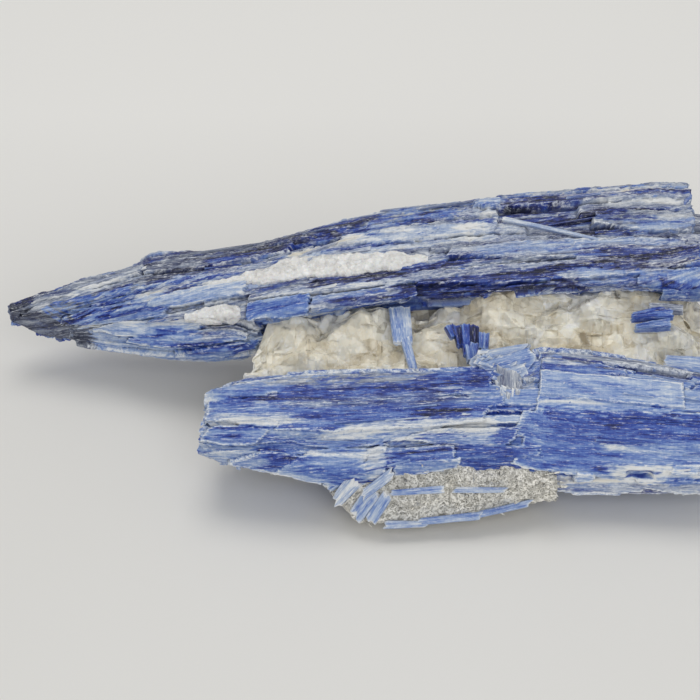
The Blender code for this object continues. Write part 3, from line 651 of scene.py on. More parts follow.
def broken_face(caps, middle, axis, splinter, grain, seed):
    """Relief and shade of a broken end: stepped laths for blades, grains where a grain size is given."""
    if grain:
        level, number = facets(caps.reshape(-1, 3), grain, seed, *BROKEN_GRAIN)[:2]
        shape = caps.shape[:2]
        return level.reshape(shape), scatter(number, 7, seed).reshape(shape), caps[..., 0], caps[..., 1]
    flat = caps[:, 0] - middle
    flat = flat - np.outer(flat @ axis, axis)
    ways = np.linalg.eigh(flat.T @ flat)[1]
    wide, thick = (caps - middle) @ ways[:, 2], (caps - middle) @ ways[:, 1]
    layer = np.floor(thick / LAYER)
    block = np.floor(wide / LAYER_WIDTH + 5.0 * scatter(layer, 0, seed))
    lot = scatter(block, layer, seed + 1)
    rough = rough_noise(wide / 1.4, thick / 0.6, seed) - 0.5
    return splinter * (1.1 * lot - 0.9 + 0.5 * rough), lot, wide, thick


def close_end(points, values, side, splinter, seed, grain):
    """Columns that close one end of a grid; side is 0 for the first column and -1 for the last."""
    rim = points[:, side]
    middle = rim.mean(axis=0)
    axis = middle - points[:, 4 if side == 0 else -5].mean(axis=0)
    axis /= np.linalg.norm(axis)
    steps = CAP_STEPS if len(rim) > MANY_ROWS else CAP_STEPS[::3]
    caps = middle + (rim - middle)[:, None] * np.array(steps)[None, :, None]
    fade = smooth(np.arange(1, len(steps) + 1) / 3.0)[None, :]
    relief, lot, wide, thick = broken_face(caps, middle, axis, splinter, grain, seed)
    caps = caps + (fade * relief)[..., None] * axis
    extra = {}
    for name, value in values.items():
        own = value[:, side, None]
        extra[name] = own + (value[:, side].mean() - own) * fade
    extra["tone"] = np.clip(extra["tone"] + 0.3 * (lot - 0.5) * fade, 0.0, 1.0)
    if "across" in extra and not grain:
        extra["along"], extra["across"] = wide + 31.0, thick
    if side == 0:
        caps = caps[:, ::-1]
        extra = {name: value[:, ::-1] for name, value in extra.items()}
    return caps, extra


def closed_grid(points, values, splinter, seed, grain=0.0):
    for side in (0, -1):
        caps, extra = close_end(points, values, side, splinter, seed + side, grain)
        pair = [caps, points] if side == 0 else [points, caps]
        points = np.concatenate(pair, axis=1)
        for name in values:
            both = [extra[name], values[name]] if side == 0 else [values[name], extra[name]]
            values[name] = np.concatenate(both, axis=1)
    return points, values


print(len(CAP_STEPS), "rings close an end")

# %% [markdown]
# Several closed grids go into one mesh object: the bundle itself and the pieces that lie loose on it.
# Where two faces meet at more than a set angle the edge is marked sharp, so that flat faces stay flat
# and everything between them is smooth. Each piece then stands for its solid and rides on the body.

# %% From grids to one mesh
KYANITE_CREASE = 40.0                         # edges sharper than this many degrees stay sharp


def join_grids(name, grids, material, sharp_angle):
    """One mesh object from closed grids; points in millimetres of the drawing."""
    corners, faces, values, first = [], [], {}, 0
    keys = sorted({key for points, grid_values in grids for key in grid_values})
    for points, grid_values in grids:
        rows, columns = points.shape[:2]
        index = np.arange(rows * columns).reshape(rows, columns) + first
        after = np.roll(index, -1, axis=0)
        quads = np.stack([index[:, :-1], after[:, :-1], after[:, 1:], index[:, 1:]], axis=-1)
        faces += quads.reshape(-1, 4).tolist()
        corners.append(points.reshape(-1, 3))
        hubs = np.stack([points[:, 0].mean(axis=0), points[:, -1].mean(axis=0)])
        corners.append(hubs)
        hub = first + rows * columns
        faces += np.stack([after[:, 0], index[:, 0], np.full(rows, hub)], axis=-1).tolist()
        faces += np.stack([index[:, -1], after[:, -1], np.full(rows, hub + 1)], axis=-1).tolist()
        for key in keys:
            value = grid_values.get(key, np.zeros((rows, columns)))
            ends = [value[:, 0].mean(), value[:, -1].mean()]
            values.setdefault(key, []).append(np.concatenate([value.reshape(-1), ends]))
        first += rows * columns + 2
    mesh = bpy.data.meshes.new(name)
    mesh.from_pydata(in_metres(np.concatenate(corners)).tolist(), [], faces)
    for key, parts in values.items():
        layer = mesh.attributes.new(key, "FLOAT", "POINT")
        layer.data.foreach_set("value", np.concatenate(parts).astype(np.float32))
    mesh.shade_smooth()
    mesh.set_sharp_from_angle(angle=math.radians(sharp_angle))
    mesh.materials.append(material)
    obj = bpy.data.objects.new(name, mesh)
    bpy.context.scene.collection.objects.link(obj)
    triangles = sum(len(face) - 2 for face in faces)
    print(f"{name}: {len(mesh.vertices)} points, {triangles} triangles")
    return obj


def make_piece(name, grids, material, sharp_angle, node):
    """One mesh that stands for its solid, rides on the one body and takes the finish that it is given."""
    piece = join_grids(name, grids, material, sharp_angle)
    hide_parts(node)
    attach(piece, "root")


def kyanite_piece(name, grids, node, sharp_angle=KYANITE_CREASE):
    make_piece(name, grids, kyanite_finish, sharp_angle, node)


print("every piece rides on root")

# %% [markdown]
# All materials are built from the same few node patterns: a value stored on the mesh, noise stretched
# along the blades, and a ramp from one colour to another. Small helpers keep each recipe readable.

# %% Node helpers
class Recipe:
    """A material under construction, with short calls for the nodes that are used often."""

    def __init__(self, name):
        self.material = bpy.data.materials.new(name)
        self.material.use_nodes = True
        self.tree = self.material.node_tree
        self.shader = self.tree.nodes["Principled BSDF"]

    def set(self, socket, source):
        """Puts a number or another node's output into a socket."""
        if isinstance(source, bpy.types.NodeSocket):
            self.tree.links.new(source, socket)
        else:
            socket.default_value = source

    def stored(self, name):
        node = self.tree.nodes.new("ShaderNodeAttribute")
        node.attribute_name = name
        return node.outputs["Fac"]

    def math(self, operation, a, b=0.0, clamp=False):
        node = self.tree.nodes.new("ShaderNodeMath")
        node.operation = operation
        node.use_clamp = clamp
        self.set(node.inputs[0], a)
        self.set(node.inputs[1], b)
        return node.outputs[0]

    def stretch(self, along, across, turn=0.0):
        """Coordinates scaled along and across the blades, in features per millimetre."""
        node = self.tree.nodes.new("ShaderNodeCombineXYZ")
        self.set(node.inputs[0], self.math("MULTIPLY", self.stored("along"), along))
        self.set(node.inputs[1], self.math("MULTIPLY", self.stored("across"), across))
        self.set(node.inputs[2], turn)
        return node.outputs[0]

    def place(self, scale):
        """Coordinates on the object itself, in features per millimetre."""
        source = self.tree.nodes.new("ShaderNodeTexCoord")
        node = self.tree.nodes.new("ShaderNodeVectorMath")
        node.operation = "SCALE"
        self.set(node.inputs[0], source.outputs["Object"])
        self.set(node.inputs["Scale"], scale / MM)
        return node.outputs[0]

    def noise(self, vector, detail=4.0, roughness=0.6):
        node = self.tree.nodes.new("ShaderNodeTexNoise")
        self.set(node.inputs["Vector"], vector)
        node.inputs["Scale"].default_value = 1.0
        node.inputs["Detail"].default_value = detail
        node.inputs["Roughness"].default_value = roughness
        return node.outputs["Fac"]

    def voronoi(self, vector):
        node = self.tree.nodes.new("ShaderNodeTexVoronoi")
        self.set(node.inputs["Vector"], vector)
        node.inputs["Scale"].default_value = 1.0
        return node

    def vector(self, operation, a, b):
        node = self.tree.nodes.new("ShaderNodeVectorMath")
        node.operation = operation
        self.set(node.inputs[0], a)
        self.set(node.inputs[1], b)
        return node

    def chips(self, scale):
        """Flat facets, each turned at random: their height, and a shade for each."""
        place = self.place(scale)
        cells = self.voronoi(place)
        gap = self.vector("SUBTRACT", place, cells.outputs["Position"]).outputs[0]
        lean = self.vector("SUBTRACT", cells.outputs["Color"], (0.5, 0.5, 0.5)).outputs[0]
        height = self.vector("DOT_PRODUCT", gap, lean).outputs["Value"]
        return height, self.math("SUBTRACT", cells.outputs["Color"], 0.5)

    def between(self, value, low, high, to_low=0.0, to_high=1.0):
        """Maps a range of values onto another, held at its ends."""
        node = self.tree.nodes.new("ShaderNodeMapRange")
        self.set(node.inputs["Value"], value)
        for key, number in zip(("From Min", "From Max", "To Min", "To Max"), (low, high, to_low, to_high)):
            node.inputs[key].default_value = number
        return node.outputs["Result"]

    def shifted(self, tone, *pairs):
        """A tone moved by sources that run from 0 to 1, each with its weight."""
        for source, weight in pairs:
            shift = self.math("MULTIPLY", self.math("SUBTRACT", source, 0.5), weight)
            tone = self.math("ADD", tone, shift)
        return tone

    def ramp(self, value, stops):
        node = self.tree.nodes.new("ShaderNodeValToRGB")
        while len(node.color_ramp.elements) < len(stops):
            node.color_ramp.elements.new(0.5)
        for element, (place, color) in zip(node.color_ramp.elements, stops):
            element.position = place
            element.color = (*color, 1.0)
        self.set(node.inputs["Fac"], value)
        return node.outputs["Color"]

    def mix(self, amount, first, second):
        node = self.tree.nodes.new("ShaderNodeMix")
        node.data_type = "RGBA"
        node.clamp_factor = True
        self.set(node.inputs["Factor"], amount)
        for socket, source in ((node.inputs["A"], first), (node.inputs["B"], second)):
            self.set(socket, source if isinstance(source, bpy.types.NodeSocket) else (*source, 1.0))
        return node.outputs["Result"]

    def bump(self, height, strength, distance, under=None):
        node = self.tree.nodes.new("ShaderNodeBump")
        node.inputs["Strength"].default_value = strength
        node.inputs["Distance"].default_value = distance * MM
        self.set(node.inputs["Height"], height)
        if under:
            self.set(node.inputs["Normal"], under)
        return node.outputs["Normal"]

    def finish(self, color, roughness, normal):
        for name, source in (("Base Color", color), ("Roughness", roughness), ("Normal", normal)):
            self.set(self.shader.inputs[name], source)
        return self.material

    def plain(self, **values):
        """Values that are the same all over the surface, set on the shader's own sockets."""
        for name, value in values.items():
            self.shader.inputs[name.replace("_", " ")].default_value = value


print("node helpers ready")

# %% [markdown]
# Kyanite has a pearly to satin sheen on its faces and is full of fine lines along the blade, with
# fainter ones across it where it cleaves. Streaks of three widths shift the colour along a ramp from
# blue-black to pearl. White splinters catch on frayed places and on raised edges, which are also made
# paler; on the edges this is partly worn fibres and partly a painted highlight. The low places between
# blades are painted dark as shade. The lines are bump as well as colour.

# %% Kyanite finish
BLUES = [(0.0, (0.003, 0.006, 0.034)), (0.14, (0.006, 0.015, 0.140)), (0.30, (0.020, 0.056, 0.350)),
         (0.46, (0.086, 0.168, 0.500)), (0.62, (0.225, 0.335, 0.620)), (0.80, (0.455, 0.550, 0.720)),
         (1.0, (0.860, 0.860, 0.850))]
SLATES = [(0.0, (0.012, 0.013, 0.020)), (0.35, (0.075, 0.082, 0.118)), (0.65, (0.280, 0.300, 0.350)),
          (1.0, (0.800, 0.800, 0.790))]
PEARL = (0.84, 0.86, 0.88)
CREAM = (0.76, 0.68, 0.52)
GAP_SHADE_COLOR = (0.012, 0.016, 0.040)
# features per mm along and across, offset, detail, roughness
BANDS = {"broad": (0.05, 0.55, 0.0, 4.0, 0.6), "middle": (0.15, 1.5, 3.0, 4.0, 0.65),
         "fine": (0.38, 3.8, 7.0, 4.0, 0.7), "cross": (2.4, 0.30, 11.0, 3.0, 0.6),
         "flecks": (0.85, 3.2, 17.0, 6.0, 0.75), "hairs": (0.24, 3.2, 29.0, 5.0, 0.7),
         "blotch": (0.22, 0.55, 37.0, 4.0, 0.6), "scratches": (0.4, 12.0, 23.0, 3.0, 0.6)}
BAND_WEIGHTS = {"broad": 0.11, "middle": 0.14, "fine": 0.16, "blotch": 0.08, "cross": 0.035}


def kyanite():
    recipe = Recipe("kyanite_blades")
    bands = {name: recipe.noise(recipe.stretch(*scale), detail, rough)
             for name, (*scale, detail, rough) in BANDS.items()}
    tone = recipe.stored("tone")
    for name, amount in BAND_WEIGHTS.items():
        tone = recipe.math("ADD", tone, recipe.between(bands[name], 0.3, 0.7, -amount, amount))
    # Raised edges are made paler and whiter: partly worn fibres, partly a painted highlight.
    edge = recipe.between(recipe.stored("relief"), 0.10, 0.75, 0.0, 0.26)
    edge = recipe.math("MULTIPLY", edge, recipe.between(bands["flecks"], 0.40, 0.60, 0.15, 1.25))
    tone = recipe.math("ADD", tone, edge, clamp=True)

    color = recipe.mix(recipe.stored("slate"), recipe.ramp(tone, BLUES), recipe.ramp(tone, SLATES))
    wear_and_highlight = recipe.math("MULTIPLY", bands["flecks"], 0.5)
    for source, weight in ((bands["hairs"], 0.5), (recipe.stored("fray"), 0.10), (edge, 0.30)):
        wear_and_highlight = recipe.math("ADD", wear_and_highlight, recipe.math("MULTIPLY", source, weight))
    splinters = recipe.between(wear_and_highlight, 0.555, 0.67, 0.0, 0.88)
    color = recipe.mix(splinters, color, PEARL)
    stain = recipe.math("MULTIPLY", recipe.stored("cream"), recipe.between(bands["middle"], 0.30, 0.60))
    color = recipe.mix(stain, color, CREAM)
    # Painted shade: the low places between blades are darkened towards blue-black.
    gap_shade = recipe.between(recipe.stored("relief"), -0.15, -1.1, 0.0, 0.62)
    color = recipe.mix(gap_shade, color, GAP_SHADE_COLOR)
    rough = recipe.math("ADD", recipe.between(bands["fine"], 0.3, 0.7, 0.30, 0.44),
                        recipe.math("MULTIPLY", splinters, 0.25))
    recipe.plain(IOR=1.5, Specular_IOR_Level=0.38, Coat_Weight=0.05, Coat_Roughness=0.22, Coat_IOR=1.5)
    lines = recipe.bump(bands["middle"], 0.35, 0.45)
    lines = recipe.bump(bands["scratches"], 0.45, 0.16, lines)
    return recipe.finish(color, rough, recipe.bump(bands["flecks"], 0.30, 0.30, lines))


kyanite_finish = kyanite()
print("kyanite nodes:", len(kyanite_finish.node_tree.nodes))

# %% [markdown]
# The back bundle is the long one. It comes to a dark broken tip at the left, widens to the right, and
# its front edge is an upright wall in deep shadow. Blades that stand out are laid one by one, each with
# its place, width and height. The rest of the surface is filled with scattered blades and thin laths.

# %% Back bundle: named streaks and blades
# kind, from (x, share) to (x, share), half width, strength where it isn't the usual one
BACK_STREAKS = [
    ("mottled", -70, 0.5, 71, 0.5, 16), ("slate", -71, 0.78, -44, 0.88, 3.4, 1.6),
    ("slate", -46, 0.86, -6, 0.9, 2.8, 1.6), ("slate", -8, 0.92, 30, 0.92, 2.6, 1.4),
    ("ash", -64, 0.97, -46, 0.99, 1), ("white", -52, 0.86, -30, 0.82, 0.5),
    ("deep", -36, 0.72, -10, 0.74, 1.2), ("deep", -14, 0.8, 22, 0.78, 1.6),
    ("navy", -32, 0.92, -20, 0.94, 0.6), ("light", -66, 0.56, -44, 0.6, 1.4, 1),
    ("pale", -48, 0.64, -30, 0.58, 1.1, 1), ("cream", -62, 0.44, -47, 0.44, 0.5),
    ("navy", -60, 0.38, -50, 0.4, 0.4), ("cream", -48, 0.45, -38, 0.42, 0.5),
    ("navy", -46, 0.38, -30, 0.44, 0.4), ("light", -66, 0.5, -50, 0.34, 1.2, 1),
    ("light", -62, 0.2, -38, 0.2, 3, 1), ("light", -62, 0.14, -38, 0.2, 2.6, 1.2),
    ("white", -60, 0, -46, 0.02, 0.5), ("pale", -48, 0.02, -38, 0.06, 0.9),
    ("light", -43, 0.27, -20, 0.34, 1.5, 1), ("deep", -31, 0.5, -22, 0.53, 0.6),
    ("white", -34, 0.44, -26, 0.46, 1.3), ("white", -36, 0.14, -22, 0.2, 0.9),
    ("light", -21, 0.35, 16, 0.26, 0.4), ("slate", -21, 0.25, -8, 0.26, 1.1),
    ("navy", -20, 0.26, -10, 0.27, 0.5), ("white", -20, 0.15, 10, 0.12, 1),
    ("navy", -7, 0.21, 3, 0.19, 0.8, 1.2), ("navy", 3, 0.19, 13, 0.21, 1, 1.2),
    ("navy", 13, 0.21, 24, 0.26, 0.9, 1.2), ("light", -9, 0.06, 4, 0.06, 0.8),
    ("navy", -4, 0.01, 14, 0, 0.5), ("pale", 0, 0.54, 28, 0.58, 2.6), ("white", 4, 0.5, 30, 0.48, 1),
    ("slate", -4, 0.7, 26, 0.68, 0.9), ("slate", 6, 0.42, 30, 0.4, 0.8),
    ("light", -10, 0.56, 8, 0.5, 0.7), ("cream", -12, 0.62, 2, 0.6, 0.6),
    ("white", 22, 0.62, 34, 0.54, 1), ("navy", 22, 0.68, 30, 0.62, 0.5), ("deep", 19, 0.3, 29, 0.27, 1),
    ("light", 26, 0.36, 50, 0.3, 1.6), ("navy", 31, 0.78, 48, 0.8, 1.3),
    ("navy", 31, 0.68, 45, 0.66, 1.6), ("navy", 42, 0.6, 62, 0.56, 2.2, 1),
    ("slate", 36, 0.48, 72, 0.46, 2.4, 1), ("navy", 46, 0.44, 58, 0.42, 0.9),
    ("grey", 50, 0.74, 70, 0.74, 1.4), ("navy", 50, 0.66, 66, 0.66, 0.8),
    ("slate", 56, 0.6, 72, 0.6, 1.4, 1), ("navy", 31, 0.88, 71, 0.84, 1),
    ("slate", 31, 0.98, 71, 0.97, 1.3, 1), ("cream", 31, 0.92, 56, 0.9, 0.35),
    ("cream", 44, 0.86, 70, 0.86, 0.35), ("light", 25, 0.94, 31, 0.9, 1.6),
    ("white", 25.5, 0.78, 31, 0.77, 1.3), ("deep", 46, 0.24, 72, 0.26, 1.2),
    ("blue", 58, 0.46, 72, 0.5, 1.6), ("pale", 44, 0.36, 66, 0.34, 0.8),
    ("navy", 42, 0.11, 60, 0.14, 0.9), ("navy", 12, -0.08, 46, -0.06, 2.4, 1.3),
    ("navy", 9, 0.04, 42, 0.08, 1.3, 1.3), ("light", 46, 0.04, 72, 0.06, 2.2),
    ("navy", 63, 0, 70, -0.02, 0.7), ("slate", 72, 0.8, 74, 0.8, 8), ("deep", -70, 1.5, 71, 1.5, 13),
    ("mottled", -60, 1.3, 70, 1.3, 2.4), ("pale", -40, 1.62, 60, 1.66, 2),
    ("ash", -71.5, 0.28, -56.5, -0.2, 5, 1.6), ("ash", -71.5, 0.6, -67, 0.5, 2.8, 1.4),
    ("slate", -66, 0.8, -30, 0.78, 2.6, 1.5), ("white", -58, 0.74, -40, 0.7, 0.7),
    ("slate", -40, 0.84, -8, 0.84, 2.4, 1.1),
]
# from (x, share) to (x, share), width, level, narrowing at the ends, skew of the ends, kind if any
BACK_BLADES = [
    (-71, 0.9, -52, 0.93, 3.2, 0.3, (0.9, 0.7), 0.2), (-66, 0.84, -43, 0.84, 3.4, 0.5, (0.4, 0.8), 0.4),
    (-62, 0.6, -42, 0.56, 2.6, 0.4, (0.4, 0.8), 0.4), (-60, 0.1, -37, 0.18, 3.4, 0.7, (0.4, 0.9), 0.5),
    (-41, 0.25, -21, 0.33, 3.2, 1, (0.5, 0.9), 0.4, "light"),
    (-42, 0.76, -12, 0.72, 4, 0.6, (0.4, 0.7), 0.5), (-38, 0.95, -16, 0.94, 3, 0.3, (0.5, 0.8), 0.5),
    (-20, 0.9, 6, 0.88, 4.4, 0.5, (0.5, 0.7), 0.4),
    (-20.8, 0.07, -8.2, 0.05, 3.8, 1.2, (0.9, 1), 0.1, "deep"),
    (-8, 0.05, 13.5, 0.04, 3, 0.6, (0.9, 0.8), 0.1), (-20.5, 0.21, 24, 0.17, 2.6, 0.7, (0.6, 0.7), 0.4),
    (-2, 0.62, 30, 0.6, 4.4, 0.7, (0.5, 0.7), 0.4), (0, 0.95, 27, 0.95, 3.4, 0.3, (0.5, 0.8), 0.4),
    (14, 0.12, 64, 0.14, 4.2, 0.8, (0.6, 0.8), 0.3), (20, 0.36, 68, 0.32, 5, 0.7, (0.5, 0.8), 0.3),
    (26, 0.88, 31.2, 0.86, 4.4, 0.9, (0.8, 1), 0.1, "light"),
    (30.5, 0.95, 70.4, 0.94, 2.8, 0.5, (1, 1), 0.1), (30.8, 0.83, 71, 0.82, 2.8, 0.6, (1, 1), 0.1),
    (50, 0.58, 72, 0.52, 6, 0.7, (0.6, 1), 0.3), (46, 0.22, 72, 0.24, 5, 0.9, (0.6, 1), 0.3),
    (58, 0.04, 72, 0.06, 4.6, 0.8, (0.7, 1), 0.3), (-48, 1.2, 6, 1.18, 5, 0.7, (0.4, 0.8), 0.5),
    (-8, 1.28, 66, 1.24, 5.4, 0.8, (0.6, 0.8), 0.5), (-56, 1.55, -6, 1.5, 5.6, 0.7, (0.3, 0.8), 0.5),
    (0, 1.46, 72, 1.5, 6.4, 0.8, (0.6, 0.9), 0.5), (-50, 1.78, 10, 1.76, 5, 0.6, (0.4, 0.8), 0.5),
    (14, 1.74, 72, 1.72, 6.2, 0.9, (0.6, 0.9), 0.5),
]
# hollows: from (x, share) to (x, share), half width, level
BACK_HOLLOWS = [(30.5, 0.72, 47.0, 0.68, 2.6, -1.5), (36.0, 0.56, 60.0, 0.54, 2.0, -1.3),
                (12.0, -0.10, 46.0, -0.10, 1.4, -1.3)]


back_skin = dressed(
    BladeSkin(BACK_STATIONS, BACK_PROFILE, BACK_RIDGE, 500, (120, 30), 0.45, (0.4, 1.6), 21, variety=0.36),
    BACK_STREAKS, (340, (0.8, 3.6), (6.0, 40.0), (-0.80, 0.15), 31), BACK_BLADES,
    laths=((1.5, 14.0, 0.36, 41, 0.24), (0.6, 6.0, 0.22, 43, 0.26)), fibres=(0.50, 45), bend=(0.5, 47),
    hollows=BACK_HOLLOWS)

# %% [markdown]
# Under the left half of the back bundle hangs a lobe of shorter blades, drawn with the same sections.
# It stays its own grid, since its blades run at another angle, and both grids go into one mesh.

# %% Lobe under the back bundle
LOBE_STREAKS = [
    ("light", -58, 0.5, -17, 0.5, 12, 1.2), ("pale", -57, 0.4, -47, 0.3, 1.4),
    ("light", -47, 0.26, -34, 0.24, 0.9), ("deep", -44, 0.48, -34, 0.56, 1),
    ("white", -40, 0.66, -30, 0.72, 0.7), ("deep", -36, 0.22, -23, 0.3, 1.1),
    ("pale", -36, 0.74, -22, 0.56, 1), ("mottled", -30, 0.5, -19, 0.44, 1.6),
    ("white", -22, 0.62, -17.6, 0.48, 2), ("deep", -25, 0.1, -18, 0.18, 1.1),
    ("white", -34, 0.03, -24, 0.02, 0.4), ("light", -52, 0.62, -40, 0.56, 0.8),
    ("slate", -58, 1.5, -17, 1.5, 8), ("ash", -59.5, 0.2, -54, 0.05, 6.5, 1.7),
]
LOBE_BLADES = [
    (-57, 0.04, -34, 0.03, 2.6, 0.5, (0.5, 0.9), 0.3), (-38, 0.01, -17, 0, 3, 0.6, (0.7, 1), 0.2),
    (-53, 0.52, -30, 0.66, 3, 1, (0.3, 0.7), 0.4), (-46, 0.3, -20.5, 0.4, 3.2, 0.9, (0.4, 0.7), 0.4),
    (-36, 0.08, -18.8, 0.16, 3, 0.8, (0.4, 0.6), 0.4), (-34.5, 0.78, -19, 0.6, 2.8, 1.3, (0.6, 0.8), 0.4),
    (-46, 1.5, -20, 1.5, 4.4, 0.7, (0.5, 0.8), 0.4),
]


lobe_skin = dressed(
    BladeSkin(BACK_LOBE_STATIONS, FRONT_PROFILE, FRONT_RIDGE, 150, (60, 20), 0.3, (1.6, 2.6), 61),
    LOBE_STREAKS, (50, (1.2, 3.2), (7.0, 26.0), (-0.7, 0.35), 63), LOBE_BLADES,
    laths=((1.1, 9.0, 0.34, 65, 0.20), (0.5, 5.0, 0.18, 67, 0.16)), fibres=(0.34, 69))

# %% [markdown]
# Some crystals stand free of the surfaces: broken blade ends, splinters, and the small blades in the
# quartz. Each is a slim bar with a bevelled section, worn edges, grooves along it and a ragged break at
# both ends. The function below makes one as a grid, so that it joins the same meshes.

# %% A single free blade
BAR_SECTION = [(-1.0, -0.55), (-1.0, 0.55), (-0.84, 0.95), (0.80, 1.0), (1.0, 0.6), (1.0, -0.6),
               (0.82, -1.0), (-0.8, -0.95)]


GROOVE_WIDTH, GROOVE_LENGTH, GROOVE_DEPTH = 1.1, 4.0, 0.10
WASTE = 0.18                                  # share of the thickness that is lost towards the ends
WORN_REACH = 0.6                              # how far the pale wear reaches in from an end, in mm


def free_blade(start, end, up, width, thickness, narrow, kind, seed, rows, step=0.4, ragged=0.5):
    """A bar from start to end in millimetres, with up as the way that its flat side faces."""
    start, end, up = (np.array(v, float) for v in (start, end, up))
    length = np.linalg.norm(end - start)
    along = (end - start) / length
    side = np.cross(up, along)
    side /= np.linalg.norm(side)
    up = np.cross(along, side)
    columns = max(8, int(length / step))
    outline = np.array(BAR_SECTION + BAR_SECTION[:1])
    spots = np.linspace(0.0, len(BAR_SECTION), rows, endpoint=False)
    off, rise = (np.interp(spots, np.arange(len(outline)), outline[:, n]) for n in range(2))
    t = np.linspace(0.0, 1.0, columns)[None, :]
    half = 0.5 * width * (narrow[0] + (narrow[1] - narrow[0]) * t)
    half = half * (1.0 + 0.14 * (rough_noise(t * length / 2.5, np.sign(off)[:, None], seed) - 0.5))
    lane = np.floor(off[:, None] * width / GROOVE_WIDTH + 0.3)
    groove = scatter(lane + 0 * t, np.floor(t * length / GROOVE_LENGTH), seed + 1) - 0.6
    groove = GROOVE_DEPTH * thickness * groove
    half_thick = 0.5 * thickness * (1.0 - WASTE * np.abs(2 * t - 1)) + groove
    reach = ragged * width * (scatter(lane, 7, seed) - 0.5 + 0.44 * off[:, None])
    fine = 0.5 * (noise(off[:, None] * width / 0.5, rise[:, None] * 2.0, seed + 3) - 0.5)
    x = t * length + (reach + fine) * (smooth(1 - t * 4) + smooth(1 - (1 - t) * 4))
    points = (start + along * x[..., None] + side * (half * off[:, None])[..., None]
              + up * (half_thick * rise[:, None])[..., None])
    tone, slate, cream, fray = KINDS.get(kind, kind)
    flat = np.zeros_like(x)
    shade = 0.22 * (scatter(lane + 0 * t, np.floor(t * length / 5.0), seed + 2) - 0.5)
    worn = np.maximum(smooth(1 - t * length / WORN_REACH), smooth(1 - (1 - t) * length / WORN_REACH))
    values = {"tone": np.clip(tone + shade + 0.2 * worn, 0, 1), "slate": flat + slate,
              "cream": flat + cream, "fray": flat + fray, "relief": groove * 2.0,
              "along": x + seed * 3.7, "across": off[:, None] * 0.5 * width + rise[:, None] + flat}
    return closed_grid(points, values, 0.5, seed)


def bars(table, up, seed, rows, step=0.4, ragged=0.5):
    """Free blades from rows of start, end, width, thickness, narrowing and kind."""
    return [free_blade(start, end, up, width, thickness, narrow, kind, seed + n, rows, step, ragged)
            for n, (start, end, width, thickness, narrow, kind) in enumerate(table)]


def splinters(skin, count, shares, x_range, width, length, seed):
    """Thin loose blades, half sunk in a skin and coloured like it, that give crisp overhanging edges."""
    draw = np.random.default_rng(seed)
    points = skin.base + skin.normal * skin.height[..., None]
    found = []
    for n in range(count):
        x = draw.uniform(*x_range)
        share = draw.uniform(*shares)
        reach = draw.uniform(*length)
        first = skin.cell(x, share)
        last = skin.cell(x + reach, share + draw.normal(0.0, 0.008))
        lift = draw.uniform(-0.15, 0.12)
        start = points[first] + skin.normal[first] * lift
        end = points[last] + skin.normal[last] * (lift - 0.1)
        values = tuple(float(layer[first]) for layer in skin.colors())
        breadth, narrow = draw.uniform(*width), (draw.uniform(0.3, 1.0), draw.uniform(0.3, 1.0))
        if np.linalg.norm(end - start) > 1.5:
            found.append(free_blade(start, end, skin.normal[first], breadth, 0.6, narrow, values,
                                    seed + n, 10, 0.8))
    return found


print("a free blade has", len(BAR_SECTION), "corners round its section")

# %% [markdown]
# The back bundle ends at the right where it was broken off the rock. Blades of different length run on
# past the break there. Splinters lie half sunk all over the surface and catch the light with crisp
# edges. They go into a mesh of their own, which keeps both meshes at a size that is easy to handle.

# %% Broken ends and splinters of the back bundle
# start, end, width, thickness, narrowing, kind: blades that run on past the broken right-hand end
BACK_ENDS = [
    ((64, 23, 30.6), (77, 23.2, 30.6), 5.6, 5, (1, 0.8), "slate"),
    ((64, 13.5, 29.4), (81, 13.6, 29.2), 5, 4.6, (1, 0.8), "blue"),
    ((64, 8.6, 26.4), (79, 8.8, 26), 4.4, 4.4, (1, 0.8), "blue"),
    ((64, 18.4, 30), (75.6, 18.4, 29.8), 3.6, 4.4, (1, 0.9), "mottled"),
    ((64, 16, 24), (77.6, 16, 23.6), 6, 5, (1, 0.8), "deep"),
    ((62, 29, 24.5), (75.5, 29.6, 24), 6, 6, (1, 0.8), "slate"),
    ((60, 22, 22.5), (76.5, 22, 22), 6, 5, (1, 0.7), "blue"),
]


SLANTED_BLADE = ((31.4, 0.63), (51.0, 0.34))  # x and share of the ends of the one over the hollows


def slanted_ends():
    """A thin pale blade lies slantwise over the hollows in the top of the bundle."""
    for x, share in SLANTED_BLADE:
        cell = back_skin.cell(x, share)
        yield back_skin.base[cell] + back_skin.normal[cell] * 0.5


def make_back_bundle():
    grids = [closed_grid(*finished_grid(back_skin, 1.2, 2.5), 1.8, 71),
             closed_grid(*finished_grid(lobe_skin, 2.2, 1.6), 1.6, 73)]
    kyanite_piece("back_kyanite_bundle", grids, "back_blade_bundle")
    grids = bars(BACK_ENDS, (0, -0.2, 1), 80, 32)
    grids.append(free_blade(*slanted_ends(), (0.3, -0.5, 0.8), 1.3, 1.1, (0.8, 0.5), "pale", 89, 24, 0.3))
    grids += splinters(back_skin, 40, (0.05, 0.98), (-60.0, 66.0), (0.4, 1.1), (5.0, 18.0), 91)
    kyanite_piece("back_kyanite_splinters", grids, "back_blade_bundle")


make_back_bundle()

# %% [markdown]
# The front bundle is smoother and more silky. Its left half ends in two rounded lobes and shows thin
# plates along its lower edge. Its right half is one broad blade that stands a step higher and starts at
# a splintered grey face.

